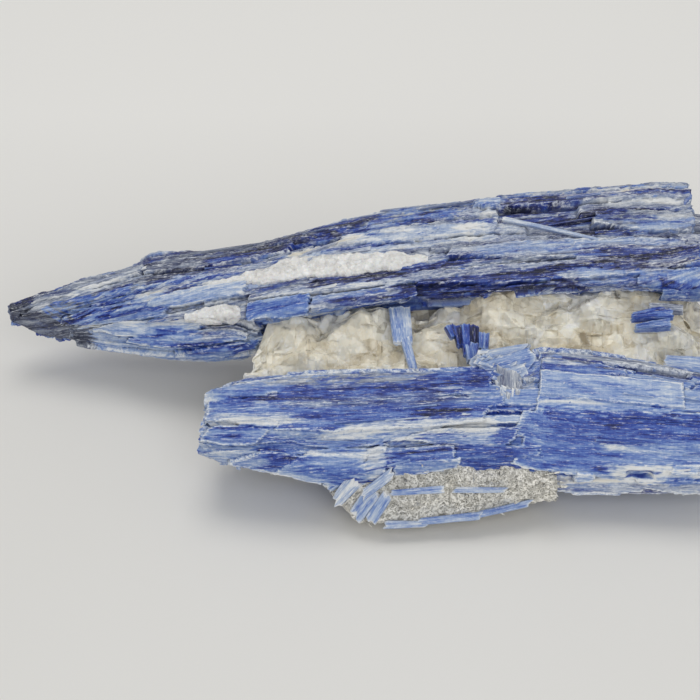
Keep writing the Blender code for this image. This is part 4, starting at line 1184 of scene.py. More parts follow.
# %% Front bundle: streaks and blades of the left half
FRONT_LEFT_STREAKS = [
    # The grey streak along the ridge (share 1) is a painted highlight, where the rounded top catches the
    # light.
    ("blue", -29, 0.5, 37, 0.5, 20), ("grey", -24, 1, 16, 0.97, 2, 1.1),
    ("pale", -28.5, 0.86, -22, 0.92, 1.2), ("deep", -26, 0.84, -8, 0.8, 1.8),
    ("deep", -10, 0.8, 8, 0.83, 1.6), ("deep", 6, 0.84, 28, 0.95, 1.6),
    ("white", -18.5, 0.68, -11, 0.69, 0.4), ("white", -10, 0.7, -3, 0.72, 0.6),
    ("white", 16.5, 0.8, 20.5, 0.8, 0.4), ("light", -27.5, 0.66, -14, 0.62, 1.3),
    ("deep", -9, 0.6, 1, 0.62, 0.6), ("blue", -2, 0.7, 28, 0.7, 1.6), ("navy", 12, 0.58, 23, 0.54, 0.7),
    ("cream", -27.8, 0.45, -14, 0.5, 0.5), ("white", -15, 0.51, -7, 0.55, 0.4),
    ("white", -28.5, 0.52, -11, 0.55, 1.1, 1), ("slate", -12, 0.69, 24, 0.69, 1.4, 0.5),
    ("light", -28, 0.36, -14, 0.38, 1.6, 1), ("light", -29.5, 0.32, -16, 0.34, 2.6, 0.8),
    ("deep", -25, 0.41, -18, 0.42, 0.8), ("pale", -14, 0.37, -3, 0.41, 0.9),
    ("white", -6, 0.42, 10, 0.46, 1.5, 1.1), ("white", 8, 0.42, 28, 0.4, 2.8, 1.3),
    ("light", 4, 0.4, 12, 0.41, 0.9), ("deep", 13, 0.36, 20, 0.34, 0.6), ("pale", 16, 0.32, 28, 0.3, 1.4),
    ("grey", 2, 0.35, 20, 0.26, 0.3), ("light", -28, 0.2, -18, 0.2, 3.6, 0.9),
    ("pale", -26, 0.07, -17, 0.11, 2.4, 1.2), ("deep", -17.5, 0.2, -8, 0.22, 1.3, 0.9),
    ("light", -15, 0.05, -4, 0.05, 1.4), ("deep", -9, 0.14, 1, 0.13, 1.7, 1),
    ("pale", -10, 0.27, 2, 0.28, 0.7, 1.1), ("pale", 2.8, 0.18, 6.8, 0.18, 5, 1.2),
    ("grey", 3.2, 0.26, 6.4, 0.26, 1.4), ("deep", -25, 0.33, -20, 0.34, 0.5),
    ("pale", -29.8, 0.5, -27.6, 0.5, 16, 1), ("white", -15.5, 0.05, -4, 0.02, 0.5),
    ("deep", 7, 0.18, 9.4, 0.17, 2), ("blue", 6.6, 0.27, 20, 0.21, 0.8),
    ("navy", 7, 0.255, 19, 0.22, 0.25), ("light", 9, 0.14, 21, 0.12, 1.5), ("pale", -4, 0.03, 4, 0, 1.2),
    ("blue", -28, 1.5, 36, 1.5, 12), ("pale", -20, 1.3, 30, 1.3, 1.6), ("slate", -20, 1.7, 36, 1.7, 2.4),
]
FRONT_LEFT_BLADES = [
    (-28.4, 0.74, 22, 0.8, 4.2, 0.35, (0.7, 0.8), 0.2),
    (-28.4, 0.6, 30, 0.67, 3.8, 0.55, (0.7, 0.6), 0.2),
    (-21.5, 0.88, 27.5, 0.9, 4.4, 0.2, (0.5, 0.9), 0.3),
    (-14.5, 0.45, 26.5, 0.53, 4.8, 0.7, (0.4, 0.8), 0.5),
    (-28.4, 0.32, -16.5, 0.35, 5, 0.45, (0.7, 0.7), 0.6),
    (-29.4, 0.95, -6, 0.97, 3.4, 0.35, (0.8, 0.6), 0.2), (-20.8, 0.13, -9, 0.14, 5.4, 0.7, (0.9, 1), 1.4),
    (-11.8, 0.15, -1, 0.16, 7.2, 1.05, (0.8, 1), 1.2), (-5, 0.16, 3.2, 0.17, 7.4, 1.02, (1, 1), 0),
    (2.6, 0.18, 7, 0.19, 8, 0.8, (1, 0.9), 0.1), (6.2, 0.21, 20.2, 0.2, 4.2, 0.8, (0.9, 0.7), 0.1),
    (8.4, 0.13, 21, 0.12, 3.2, 0.9, (0.9, 0.7), 0.3, "light"),
    (11, 0.37, 32, 0.35, 4.4, 0.45, (0.3, 1), 0.6),
    (-5, 0.03, 0.5, 0.02, 3, 0.55, (0.5, 0.9), -0.8, "pale"),
    (-12, 1.15, 30, 1.2, 6, 0.8, (0.5, 0.8), 0.4), (-25, 1.42, 8, 1.45, 5.5, 0.9, (0.5, 0.7), 0.4),
    (-20, 1.72, 26, 1.7, 5.5, 0.7, (0.6, 0.9), 0.4),
]
FRONT_LEFT_NOTCHES = [(0.47, 0.05, 1.6), (1.5, 0.5, 1.5)]


front_left_skin = dressed(
    BladeSkin(FRONT_LEFT_STATIONS, FRONT_PROFILE, FRONT_RIDGE, 230, (120, 26), 0.6, (1.3, 0.5), 101,
              FRONT_LEFT_NOTCHES, level=True),
    FRONT_LEFT_STREAKS, (90, (1.4, 4.6), (10.0, 44.0), (-0.45, 0.20), 103), FRONT_LEFT_BLADES,
    laths=((1.6, 20.0, 0.16, 105, 0.14), (0.6, 9.0, 0.10, 107, 0.12)), fibres=(0.24, 109), bend=(0.4, 111))

# %% [markdown]
# The right half is broader and plainer. Long straight streaks of light and deep blue run to its far
# end, a raised light blade lies along its ridge, and white and mottled bands follow its lower edge. It
# is a skin of its own, since it stands a step higher and its left end is broken across.

# %% Front bundle: streaks and blades of the right half
FRONT_RIGHT_STREAKS = [
    ("blue", 28, 0.5, 83, 0.5, 20), ("slate", 33, 1, 83, 0.97, 2.2, 1.2),
    ("grey", 34, 0.98, 83, 0.96, 0.4), ("navy", 36, 0.99, 66, 0.96, 0.3),
    ("blue", 36, 0.86, 52, 0.85, 2.6), ("white", 35, 0.95, 44, 0.92, 0.6),
    ("light", 35, 0.72, 66, 0.76, 2.1), ("white", 36, 0.63, 50, 0.645, 0.4),
    ("pale", 36, 0.8, 56, 0.82, 0.35), ("light", 46, 0.6, 83, 0.62, 1),
    ("light", 36, 0.54, 60, 0.55, 1.1), ("white", 62, 0.56, 83, 0.53, 0.4),
    ("deep", 38, 0.4, 84, 0.38, 5.2, 1.5), ("deep", 48, 0.45, 78, 0.44, 2.2, 1.2),
    ("deep", 32, 0.28, 52, 0.29, 1.6, 1.2), ("blue", 30, 0.42, 48, 0.44, 1.5),
    ("deep", 31, 0.27, 42, 0.27, 2.6), ("deep", 40, 0.23, 53, 0.24, 1.4),
    ("white", 48, 0.34, 61, 0.3, 0.5), ("blue", 56, 0.36, 83, 0.34, 1.4, 1),
    ("blue", 52, 0.24, 83, 0.26, 1.8), ("white", 50, 0.18, 83, 0.17, 0.6),
    ("white", 51, 0.14, 62, 0.14, 1.7, 1), ("navy", 53.4, 0.14, 58.2, 0.14, 0.7, 1),
    ("mottled", 36, 0.05, 83, 0.08, 1.9), ("cream", 40, 0.1, 52, 0.1, 0.5),
    ("light", 43, 0.13, 47.5, 0.13, 0.7), ("light", 62, 0.17, 66.5, 0.17, 0.7),
    ("light", 45, 0.01, 58, 0, 0.9), ("white", 60, 0.03, 80, 0.04, 0.5),
    ("grey", 28, 0.7, 33.5, 0.78, 4.2), ("pale", 28.4, 0.36, 30.4, 0.4, 3.2),
    ("light", 30, 0.96, 36, 0.98, 2.4), ("blue", 28, 1.5, 83, 1.5, 12), ("slate", 34, 1.3, 80, 1.3, 2.6),
    ("light", 40, 1.7, 80, 1.66, 2),
]
FRONT_RIGHT_BLADES = [
    (31, 0.25, 82, 0.29, 7.6, 0.6, (0.8, 0.9), 0.3), (29.6, 0.43, 84, 0.5, 6.6, 0.9, (0.8, 0.9), 0.3),
    (34.4, 0.62, 84, 0.63, 4.8, 0.7, (0.9, 0.8), 0.1), (35, 0.78, 65, 0.76, 5.4, 1.1, (1, 1), 0, "light"),
    (36.2, 0.92, 54, 0.89, 3.6, 0.6, (1, 0.5), 0.3), (34.6, 0.99, 84, 0.96, 2.4, 0.25, (0.9, 0.7), 0.3),
    (39, 0.06, 57.5, 0.07, 3.4, 0.6, (0.5, 0.7), 0.5), (55, 0.09, 82, 0.1, 3.4, 0.7, (0.7, 0.7), 0.5),
    (43, 0.13, 47.5, 0.13, 2, 1.1, (0.8, 0.8), 0.4, "light"),
    (62, 0.17, 67, 0.17, 1.9, 1, (0.8, 0.8), 0.4, "light"),
    (32, 1.22, 80, 1.2, 5.6, 0.8, (0.7, 0.7), 0.4), (34, 1.6, 78, 1.62, 6, 0.8, (0.7, 0.7), 0.4),
]
FRONT_RIGHT_HOLLOWS = [(53.4, 0.14, 58.2, 0.14, 0.7, -0.7)]


front_right_skin = dressed(
    BladeSkin(FRONT_RIGHT_STATIONS, FRONT_PROFILE, FRONT_RIDGE, 200, (120, 26), 0.5, (1.0, 3.0), 121),
    FRONT_RIGHT_STREAKS, (70, (1.6, 5.0), (12.0, 44.0), (-0.40, 0.15), 123), FRONT_RIGHT_BLADES,
    laths=((1.8, 24.0, 0.13, 125, 0.12), (0.6, 10.0, 0.08, 127, 0.12)), fibres=(0.22, 129),
    bend=(0.4, 131), dents=FRONT_RIGHT_HOLLOWS)

# %% [markdown]
# Where the two halves meet, the rock is crushed: broken blade ends stand up over a splintered grey face,
# with tufts of short fibres between them. More broken blades are caught in the crust under the toe, and
# some run on past the far end. All are free blades, laid one by one or crowded into a box.

# %% Front bundle: free pieces and the mesh
# start, end, width, thickness, narrowing, kind
FRONT_PIECES = [
    ((24.8, -7.4, 20.6), (34.6, -8.8, 23.6), 4.2, 2.6, (0.8, 1), "light"),
    ((25.4, -11, 20.8), (35.4, -10.6, 23.8), 4.6, 2.6, (0.7, 1), "light"),
    ((26.4, -13.8, 20.6), (34.4, -13.2, 22.8), 3.4, 2, (0.7, 1), "pale"),
    ((31.2, -12.4, 22.9), (30.8, -20.2, 19.1), 5.6, 2, (0.9, 0.9), "grey"),
    ((76, -20, 19.4), (85, -20.4, 18.6), 5, 2.2, (1, 0.7), "blue"),
    ((74, -27.6, 14.2), (84.6, -27.8, 13.8), 5, 2.4, (1, 0.8), "light"),
]
# the same, for small blades caught in the crust below
CRUST_BLADES = [
    ((1, -34.6, 4.4), (4.8, -32.4, 9.2), 3.6, 1.4, (0.8, 1), "light"),
    ((-2.6, -32.6, 6.6), (1, -31, 10.8), 3.4, 1.2, (0.7, 1), "pale"),
    ((4, -35.6, 4.4), (7.2, -33.4, 9), 2.6, 1.4, (0.9, 0.8), "light"),
    ((-4, -30.6, 8.6), (0.8, -29.6, 12), 2.8, 1.2, (0.7, 0.9), "light"),
    ((2.6, -33, 8.6), (8.2, -30.8, 12.6), 2.4, 1.2, (0.8, 0.8), "pale"),
    ((8, -33.2, 9.4), (18, -32.6, 9.8), 1.8, 1, (0.6, 0.8), "light"),
    ((13, -35.4, 3.8), (25, -34.6, 4.6), 2.2, 1.2, (0.6, 0.7), "light"),
    ((20, -32.4, 9.4), (30, -32.2, 9.2), 1.7, 1, (0.7, 0.6), "pale"),
    ((25, -34.2, 4.6), (35, -32.4, 6), 2.2, 1.2, (0.6, 0.6), "light"),
    ((7, -36, 3.6), (15, -35.6, 3.4), 2, 1.2, (0.8, 0.6), "pale"),
]


# count, lowest and highest corner of the place, way of the fibres and how far they stray, length, kinds
FRONT_TUFTS = [
    (110, (24.6, -10.6, 21.4), (32, -6.4, 22.9), (1, -0.2, 0), 0.35, (1, 3), ("light", "pale")),
    (60, (26, -14.2, 20.8), (32.6, -10.2, 22.4), (1, -0.3, 0.1), 0.3, (1, 3.4), ("pale", "blue")),
    (80, (28.4, -18.6, 19.8), (33.2, -13.4, 22.4), (0, -0.8, -0.5), 0.12, (1.5, 3.6), ("grey", "pale")),
]


def tuft(count, low, high, way, stray, length, kinds, seed):
    """Broken fibres crowded together in a box, all lying roughly one way."""
    draw = np.random.default_rng(seed)
    found = []
    for n in range(count):
        place = draw.uniform(0.0, 1.0, 3)
        start = np.array(low) + place * (np.array(high) - np.array(low))
        way_here = np.array(way) + draw.normal(0.0, stray, 3)
        end = start + way_here / np.linalg.norm(way_here) * draw.uniform(*length)
        found.append(free_blade(start, end, (0.0, -0.6, 0.8), draw.uniform(0.4, 1.2), 0.5, (1.0, 0.6),
                                kinds[n % len(kinds)], seed + n, 8, 0.5))
    return found


def make_front_bundle():
    grids = [closed_grid(*finished_grid(front_left_skin, 4.0, 1.0), 1.2, 141),
             closed_grid(*finished_grid(front_right_skin, 4.0, 1.4), 1.8, 143)]
    grids += bars(FRONT_PIECES, (0, -0.6, 0.8), 150, 24) + bars(CRUST_BLADES, (0, -0.8, 0.6), 170, 24)
    for skin, spread in ((front_left_skin, (-24.0, 22.0)), (front_right_skin, (34.0, 74.0))):
        grids += splinters(skin, 14, (0.02, 0.98), spread, (0.3, 0.8), (4.0, 12.0), 161)
    kyanite_piece("front_kyanite_bundle", grids, "front_blade_bundle")
    tufts = [blade for n, row in enumerate(FRONT_TUFTS) for blade in tuft(*row, 400 + 100 * n)]
    kyanite_piece("front_kyanite_tufts", tufts, "front_blade_bundle")


make_front_bundle()

# %% [markdown]
# Quartz between the bundles is a mass of grains grown together, so it breaks into small tilted facets
# with sharp edges. The surface is again a loft, and each point is moved by the grain that it falls in:
# every grain has its own level and its own tilt. Three sizes of grain on top of each other give lumps,
# facets and sugar.

# %% Quartz forms
# x, then the outline (y, z) from the front of the flat base over the valley to the back of the base
QUARTZ_STATIONS = [
   
    (-21.2, [(-13, 7), (-13, 12), (-10.5, 15), (-8, 16.8), (-5, 17.6), (-2, 17), (0, 14),
      (-3, 11), (-8, 7)]),
    (-20.4, [(-16, 0), (-15, 9), (-11, 16), (-8, 18), (-4, 19.2), (0, 19), (4, 15), (3, 8), (-2, 0)]),
    (-13, [(-18, 0), (-15, 10), (-8, 17.6), (-3.5, 19.4), (1.5, 20.8), (5, 20.6), (12, 16),
      (13, 8), (9, 0)]),
    (-6, [(-19, 0), (-16, 10), (-8.5, 18), (-3, 19.6), (3, 21.6), (8, 22.4), (20, 17), (24, 8), (19, 0)]),
    (6, [(-21, 0), (-17, 10), (-8, 17.4), (-3, 19.4), (3.5, 21.8), (8.5, 22.8), (23, 18), (27, 9),
      (22, 0)]),
    (14, [(-21, 0), (-17, 10), (-8.2, 17.4), (-3, 19.3), (3, 21.4), (8, 22.4), (24, 18), (28, 9),
      (23, 0)]),
    (22, [(-21, 0), (-16, 11), (-7.5, 17.6), (-2, 20), (4, 22.8), (9, 24), (26, 19), (29, 9), (24, 0)]),
    (40, [(-20, 0), (-15, 11), (-5, 18.4), (-0.5, 20.8), (5, 24.2), (10, 25.4), (27, 20), (30, 9),
      (24, 0)]),
    (50, [(-19, 0), (-16, 10.5), (-6, 17.8), (-1, 20.9), (4, 25.2), (9, 28.2), (27, 21), (29, 9),
      (23, 0)]),
    (60, [(-19, 0), (-16, 10), (-7, 17.2), (-1.5, 20.6), (3.5, 25), (9, 28), (26, 21), (27, 9), (21, 0)]),
    (68, [(-16, 0), (-16, 9), (-9, 16), (-3.5, 18.6), (3, 22.6), (9, 24.5), (24, 19), (24, 9), (17, 0)]),
    (75.5, [(-8, 6), (-11, 10), (-9, 14), (-4, 16.5), (2, 19.5), (8, 20.5), (16, 17), (16, 11), (9, 6)]),
]
CRUST_STATIONS = [
    (-5, [(-27.4, 9.8), (-29, 9.4), (-29.6, 8), (-28.6, 7), (-26.6, 7.6)]),
    (1, [(-27, 12.4), (-31.4, 9.2), (-34.9, 3.3), (-30, 1.9), (-22, 4)]),
    (6, [(-25.5, 15.4), (-30.7, 11.5), (-35.3, 3.1), (-30.5, 1), (-20, 3)]),
    (13, [(-25.5, 16), (-30.6, 12), (-34.8, 3.5), (-30, 1.2), (-20, 3.4)]),
    (18, [(-26, 15), (-30.7, 11.3), (-34, 4), (-29.5, 2.2), (-20, 4)]),
    (25, [(-26, 14.6), (-30.8, 10.6), (-33.9, 4.1), (-29.5, 2), (-20, 4)]),
    (31, [(-27.5, 13), (-30.9, 11), (-32.6, 5), (-29, 3.4), (-22, 5)]),
    (40, [(-29, 10.4), (-31.4, 9.2), (-31.2, 5.6), (-28.5, 4.4), (-25, 6)]),
]


def loft_grid(stations, columns, rows_per_side):
    """A grid through ring outlines; rows_per_side says how fine each side of the ring is."""
    xs = np.array([x for x, outline in stations], float)
    rings = np.array([outline for x, outline in stations], float)
    x = np.linspace(xs[0], xs[-1], columns)
    rows = []
    for side, count in enumerate(rows_per_side):
        after = (side + 1) % rings.shape[1]
        for step in range(count):
            t = step / count
            path = rings[:, side] * (1 - t) + rings[:, after] * t
            rows.append(np.stack([x, np.interp(x, xs, path[:, 0]), np.interp(x, xs, path[:, 1])], -1))
    points = np.array(rows)
    for axis in (1, 2):
        points[..., axis] = blur(points[..., axis], 3, 3)
    return points


GRAIN_SHADES = (0.40, 0.36, 0.24)             # how far each size of grain shifts the tone
GRAIN_TONE = 0.62


def faceted(points, sizes, seed, flat_below, sunk=0.0):
    """Moves a grid's points out or in by the grains that they lie in; the flat base stays flat."""
    normals = grid_normals(points)
    flat = points.reshape(-1, 3)
    height = np.zeros(len(flat))
    lot = np.zeros(len(flat))
    seam = np.full(len(flat), 9.0)
    for n, (size, tilt, steep) in enumerate(sizes):
        level, number, edge = facets(flat, size, seed + n, tilt, steep)
        height += level - level.mean() - sunk / len(sizes)
        lot += (scatter(number, 7, seed + n) - 0.5) * GRAIN_SHADES[n]
        seam = np.minimum(seam, edge / size)
    height = height.reshape(points.shape[:2])
    free = smooth((points[..., 2] - flat_below) / 1.5)
    moved = points + normals * (height * free)[..., None]
    moved[..., 2] = np.maximum(moved[..., 2], np.minimum(points[..., 2], flat_below))
    relief = height - blur(height, 3, 3)
    return moved, {"tone": np.clip(GRAIN_TONE + lot.reshape(height.shape), 0, 1),
                   "seam": seam.reshape(height.shape), "relief": relief * 2.0}


print("quartz from x", QUARTZ_STATIONS[0][0], "to", QUARTZ_STATIONS[-1][0], "mm")

# %% [markdown]
# Quartz is clear, but a mass of small grains scatters light inside and looks milky, with smoky grey
# where a grain is large and clear. Subsurface scattering gives that inner glow. Grain tone picks milky,
# cream or smoky colour, the seams between grains are white with tiny cracks, and the facets are glossy.

# %% Quartz finish
MILKY = [(0.0, (0.360, 0.300, 0.205)), (0.25, (0.680, 0.590, 0.420)), (0.5, (0.900, 0.820, 0.640)),
         (0.78, (0.940, 0.890, 0.750)), (1.0, (0.940, 0.925, 0.880))]
WHITES = [(0.0, (0.560, 0.540, 0.510)), (0.35, (0.810, 0.790, 0.760)), (1.0, (0.940, 0.930, 0.905))]
CRACK_WHITE, SHADOW_BROWN = (0.90, 0.89, 0.86), (0.24, 0.205, 0.150)
CHIP_RATIO = 2.6                              # large chips are this much wider than small ones


def quartz_finish(name, colors, glow, chip):
    recipe = Recipe(name)
    cloud = recipe.noise(recipe.place(0.22), 4.0, 0.6)
    sugar = recipe.noise(recipe.place(2.6), 5.0, 0.7)
    large, large_shade = recipe.chips(chip / CHIP_RATIO)
    small, small_shade = recipe.chips(chip)
    tone = recipe.shifted(recipe.stored("tone"), (cloud, 0.55), (sugar, 0.20))
    for shade, weight in ((large_shade, 0.20), (small_shade, 0.14)):
        tone = recipe.math("ADD", tone, recipe.math("MULTIPLY", shade, weight))
    color = recipe.ramp(tone, colors)
    crack = recipe.between(recipe.stored("seam"), 0.05, 0.0, 0.0, 0.45)
    crack = recipe.math("MULTIPLY", crack, recipe.between(sugar, 0.40, 0.62))
    color = recipe.mix(crack, color, CRACK_WHITE)
    hollow = recipe.between(recipe.stored("relief"), -0.10, -1.0, 0.0, 0.30)
    color = recipe.mix(hollow, color, SHADOW_BROWN)
    rough = recipe.between(sugar, 0.3, 0.7, 0.12, 0.30)
    recipe.plain(IOR=1.54, Subsurface_Weight=glow, Subsurface_Scale=0.0012)
    recipe.shader.inputs["Subsurface Radius"].default_value = (1.0, 0.85, 0.65)
    relief = recipe.bump(large, 0.7, CHIP_RATIO / chip)
    relief = recipe.bump(small, 0.5, 0.9 / chip, relief)
    return recipe.finish(color, rough, recipe.bump(sugar, 0.20, 0.15, relief))


# size in mm, tilt and steepness of the grains, from large to small
QUARTZ_GRAINS = ((12.0, 0.4, 0.75), (5.4, 0.6, 0.70), (2.2, 0.5, 0.22))
QUARTZ_CREASE, LENS_CREASE = 12.0, 22.0       # edges sharper than this many degrees stay sharp
QUARTZ_SUNK = 2.0                             # the grains stand up to the old surface from this far below
BROKEN_QUARTZ = 4.2                           # grain size at the ends, in mm
# spots in the valley between the bundles where the quartz is made darker: x, y, reach, darkness
DARKER_QUARTZ_SPOTS = ((1.0, -1.5, 7.0, 0.34), (46.0, -3.0, 7.5, 0.34), (38.0, -6.0, 5.0, 0.2))


def make_quartz():
    points = loft_grid(QUARTZ_STATIONS, 300, (6, 14, 46, 58, 58, 22, 8, 8, 10))
    points, values = faceted(points, QUARTZ_GRAINS, 201, 0.2, QUARTZ_SUNK)
    for x, y, reach, dark in DARKER_QUARTZ_SPOTS:
        near = np.hypot((points[..., 0] - x) / 1.6, points[..., 1] - y)
        values["tone"] = values["tone"] - dark * smooth(1.0 - near / reach)
    values["along"], values["across"] = points[..., 0], points[..., 1]
    grids = [closed_grid(points, values, 1.2, 211, BROKEN_QUARTZ)]
    finish = quartz_finish("milky_quartz", MILKY, 0.10, 1.0)
    make_piece("quartz_mass", grids, finish, QUARTZ_CREASE, "quartz_matrix")


make_quartz()

# %% [markdown]
# Two lenses of fine white quartz lie in the top of the back bundle. Each follows the bundle's own
# surface and stands a little proud of it, while its edges dip below the blades, so that no gap shows.

# %% Quartz lenses
# x, share, half of the width
UPPER_LENS = [(-30.0, 0.40, 0.6), (-19.0, 0.45, 1.8), (-10.0, 0.43, 2.8), (0.0, 0.34, 2.9),
              (9.0, 0.30, 2.3), (16.0, 0.29, 0.7)]
LOWER_LENS = [(-33.5, 0.05, 0.7), (-29.5, 0.06, 1.8), (-25.0, 0.07, 2.0), (-21.8, 0.08, 0.9)]
LENS_PROUD = 0.85
LENS_DEPTH = 2.0
LENS_ROWS = 56
LENS_GRAINS = ((2.6, 0.2, 0.34), (1.0, 0.2, 0.34), (0.5, 0.2, 0.30))


def lens_grid(rows, columns, seed):
    x, share, half = (np.array(column, float) for column in zip(*rows))
    fine_x = np.linspace(x[0], x[-1], columns)
    fine_share, fine_half = np.interp(fine_x, x, share), np.interp(fine_x, x, half)
    fine_half = fine_half * (1.0 + 0.35 * (rough_noise(fine_x / 3.0, 0.5, seed) - 0.5))
    turns = np.linspace(0.0, 2 * math.pi, LENS_ROWS, endpoint=False)
    grid = np.zeros((len(turns), columns, 3))
    for c in range(columns):
        row, column = back_skin.cell(fine_x[c], fine_share[c])
        spots = back_skin.across[row, column] + np.cos(turns) * fine_half[c]
        order = back_skin.across[:, column]
        base = np.stack([np.interp(spots, order, back_skin.base[:, column, k]) for k in range(3)], 1)
        normal = back_skin.normal[row, column]
        slope = min(1.0, fine_half[c] / 1.5)
        top = np.sign(np.sin(turns)) * np.abs(np.sin(turns)) ** 0.5
        rise = np.where(top > 0, LENS_PROUD * top, LENS_DEPTH * slope * top)
        grid[:, c] = base + normal * rise[:, None]
    for axis in range(3):
        grid[..., axis] = blur(grid[..., axis], 0, 2)
    points, values = faceted(grid, LENS_GRAINS, seed, 0.2)
    values["along"], values["across"] = points[..., 0], points[..., 1]
    return closed_grid(points, values, 0.4, seed)


def make_lenses():
    finish = quartz_finish("white_quartz", WHITES, 0.30, 2.2)
    for name, rows, columns, seed in (("upper_white_lens", UPPER_LENS, 190, 221),
                                      ("lower_white_lens", LOWER_LENS, 60, 223)):
        make_piece(name, [lens_grid(rows, columns, seed)], finish, LENS_CREASE,
                   name.replace("white_lens", "quartz_lens"))


make_lenses()

# %% [markdown]
# The crust under the toe of the front bundle is a felt of mica flakes, weathered kyanite fibres and
# clay: cream, matt and ragged. It is a loft with small flaky grains, and fibres of pale blue lie in it.

# %% Finish of the crust
CRUST_COLORS = [(0.0, (0.080, 0.072, 0.075)), (0.36, (0.430, 0.385, 0.330)), (0.5, (0.900, 0.840, 0.715)),
                (1.0, (0.970, 0.925, 0.820))]
CRUST_BLUE, THREAD_WHITE, CRUST_SHADOW = (0.270, 0.380, 0.660), (0.985, 0.950, 0.860), (0.100, 0.092, 0.100)


def crust_finish():
    recipe = Recipe("mica_crust")
    cloud = recipe.noise(recipe.place(0.40), 5.0, 0.65)
    grit = recipe.noise(recipe.place(3.2), 4.0, 0.7)
    tone = recipe.shifted(recipe.math("ADD", recipe.stored("tone"), 0.26), (cloud, 1.2), (grit, 1.1))
    color = recipe.ramp(tone, CRUST_COLORS)
    blue = recipe.between(recipe.noise(recipe.stretch(0.35, 1.2, 9.0), 4.0, 0.6), 0.58, 0.68, 0.0, 0.6)
    color = recipe.mix(blue, color, CRUST_BLUE)
    threads = 0.0
    for scale in (0.5, 0.9, 1.6):
        wave = recipe.math("ABSOLUTE", recipe.math("SUBTRACT", recipe.noise(recipe.place(scale)), 0.5))
        threads = recipe.math("MAXIMUM", threads, recipe.between(wave, 0.070, 0.020))
    color = recipe.mix(recipe.math("MULTIPLY", threads, 0.9), color, THREAD_WHITE)
    hollow = recipe.between(recipe.stored("relief"), -0.35, -1.1, 0.0, 0.6)
    color = recipe.mix(hollow, color, CRUST_SHADOW)
    rough = recipe.between(grit, 0.3, 0.7, 0.5, 0.85)
    return recipe.finish(color, rough, recipe.bump(grit, 0.4, 0.3, recipe.bump(threads, 1.0, 0.6)))


print("colours in the crust's ramp:", len(CRUST_COLORS))

# %% [markdown]
# The form of the crust is a loft like the quartz, with finer and flatter grains. Long noise is added to
# it for the felt, and loose fibres lie on its front at all angles and stand out at its edge, since a
# felt is known by its torn outline.

# %% Pale crust
CRUST_GRAINS = ((2.4, 0.3, 0.24), (1.0, 0.2, 0.22))
BROKEN_CRUST = 1.6                            # grain size at the ends, in mm
CRUST_CREASE = 25.0                           # edges sharper than this many degrees stay sharp
FELT = 1.2                                    # height of the felt's relief, in mm
FIBRES = 150
FRONT_ROWS = 96                               # rows of the crust's grid that face forwards


def crust_fibres(points):
    """Loose pale fibres and flakes that lie on the crust and stand out at its edge."""
    draw = np.random.default_rng(237)
    normals = grid_normals(points)
    found = []
    for n in range(FIBRES):
        row, column = draw.integers(0, FRONT_ROWS), draw.integers(6, points.shape[1] - 6)
        start = points[row, column] - 0.2 * normals[row, column]
        way = np.array((draw.normal(0.6, 0.8), draw.normal(0.0, 0.5), draw.normal(0.0, 0.7)))
        way -= normals[row, column] * (way @ normals[row, column]) * 0.8
        end = start + way / np.linalg.norm(way) * draw.uniform(1.4, 3.6)
        end[2] = max(end[2], TABLE_GAP + 0.4)
        shade = (draw.uniform(0.6, 1.0), 0.0, 0.0, 0.0)
        found.append(free_blade(start, end, normals[row, column], draw.uniform(0.25, 0.7), 0.3,
                                (1.0, draw.uniform(0.3, 1.0)), shade, 300 + n, 8, 0.6))
    return found


def make_crust():
    points = loft_grid(CRUST_STATIONS, 200, (44, 56, 30, 14, 14))
    points, values = faceted(points, CRUST_GRAINS, 231, 0.9)
    along, across = points[..., 0], points[..., 1] - points[..., 2]
    fibres = 0.8 * (rough_noise(along / 1.8 + across / 3.0, across / 0.6, 233) - 0.5)
    fibres += 0.7 * (rough_noise(along / 5.0, across / 2.6, 239) - 0.5)
    points = points + grid_normals(points) * (FELT * fibres)[..., None]
    values["relief"] = values["relief"] + FELT * fibres
    points[..., 2] = np.maximum(points[..., 2], TABLE_GAP)
    values["along"], values["across"] = along, across
    grids = [closed_grid(points, values, 1.4, 235, BROKEN_CRUST)] + crust_fibres(points)
    make_piece("mica_crust", grids, crust_finish(), CRUST_CREASE, "pale_crust")


make_crust()

# %% [markdown]
# Small kyanite crystals stick in the quartz: a light one that crosses it with a wide head and a thin
# stem, a group of dark stubs, and broken blades near the right end. They use the free blade from above.

# %% Small crystals
CROSS_BLADE = [
    ((10, 5.6, 23.6), (10.6, -2, 20.7), 4.2, 1.4, (1, 0.95), "light"),
    ((11, -0.8, 21.2), (12.8, -9.2, 18.8), 2, 1.3, (1, 0.8), "light"),
]
STUB_CRYSTALS = [
    ((19.8, 0.8, 22.8), (20.6, -1.4, 21.6), 1.9, 2.4, (1, 0.6), "deep"),
    ((21.4, 0.8, 22.8), (22, -3, 20.8), 2, 2.4, (1, 0.7), "navy"),
    ((23.1, 0.8, 22.9), (23.3, -5, 19.9), 2, 2.4, (1, 0.7), "deep"),
    ((24.8, 0.7, 22.8), (24.7, -3.8, 20.4), 2.2, 2.4, (1, 0.8), "navy"),
    ((26.8, -0.6, 22), (26.6, -3.4, 20.2), 2.4, 2.6, (1, 0.9), "blue"),
    ((24.2, -2.6, 21.2), (24.4, -6.4, 19.4), 3, 2.4, (1, 0.8), "blue"),
]
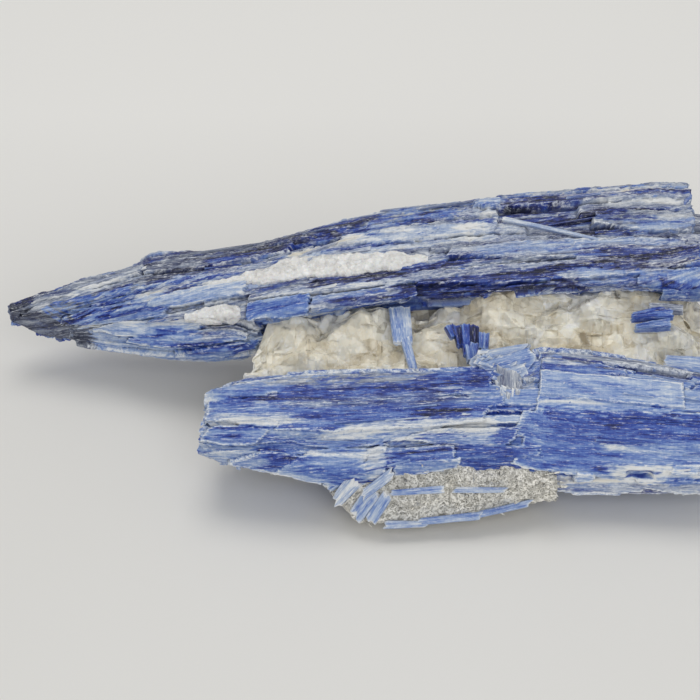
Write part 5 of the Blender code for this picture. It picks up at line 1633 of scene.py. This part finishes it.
END_BLADES = [
    ((56.4, 1.6, 24.5), (64.6, 2.6, 25), 3, 2.8, (0.5, 1), "deep"),
    ((57, -0.4, 23.2), (64, 0.4, 23.8), 2.6, 2.6, (0.4, 0.9), "blue"),
    ((60, 3.4, 25.4), (66.6, 3, 25.3), 2.4, 2.4, (0.8, 0.7), "slate"),
]
LOW_END_BLADE = [
    ((62.5, -6.6, 19.2), (73, -7.8, 18.6), 5.2, 3, (0.7, 0.9), "light"),
]


CRYSTAL_CREASE = 35.0                         # edges sharper than this many degrees stay sharp


def make_small_crystals():
    groups = {"cross_blade": CROSS_BLADE, "stub_crystals": STUB_CRYSTALS, "end_blades": END_BLADES,
              "low_end_blade": LOW_END_BLADE}
    for number, (node, rows) in enumerate(groups.items()):
        grids = bars(rows, (0.0, -0.35, 1.0), 241 + 7 * number, 80, 0.3, 0.08)
        kyanite_piece("striated_" + node, grids, node, CRYSTAL_CREASE)


make_small_crystals()

# %% [markdown]
# The table is a plain pale board. Towards the back it is painted paler, as light from the window behind.
# Faint mottling and a very low bump keep it from looking like paper.

# %% Table
TABLE_SIZE = 3.0
BOARD = [(0.3, (0.785, 0.766, 0.727)), (0.7, (0.800, 0.782, 0.745))]
BOARD_PAINTED_LIGHT = (0.905, 0.885, 0.845)


def make_table():
    recipe = Recipe("pale_table")
    cloud = recipe.noise(recipe.place(0.012), 3.0, 0.5)
    color = recipe.ramp(cloud, BOARD)
    # Painted light: the board grows paler from 20 to 110 mm behind the middle, where the window light
    # falls.
    depth = recipe.vector("DOT_PRODUCT", recipe.place(1.0), (0.0, 1.0, 0.0)).outputs["Value"]
    color = recipe.mix(recipe.between(depth, 20.0, 110.0), color, BOARD_PAINTED_LIGHT)
    rough = recipe.between(cloud, 0.3, 0.7, 0.50, 0.58)
    recipe.finish(color, rough, recipe.bump(recipe.noise(recipe.place(0.8)), 0.05, 0.1))
    bpy.ops.mesh.primitive_plane_add(size=TABLE_SIZE)
    table = bpy.context.object
    table.name = "table"
    table.data.materials.append(recipe.material)
    table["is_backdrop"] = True
    print("table:", TABLE_SIZE, "m wide")


make_table()

# %% [markdown]
# Last, the size of the finished object is printed beside the size of the solids.

# %% Sizes and finish
dressed_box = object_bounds()
sizes = {"solids": [list(corner) for corner in solid_box],
         "dressed": [list(corner) for corner in dressed_box]}
for name, (low, high) in sizes.items():
    print(name, "box, mm:", [round(value / MM, 1) for value in low + high])
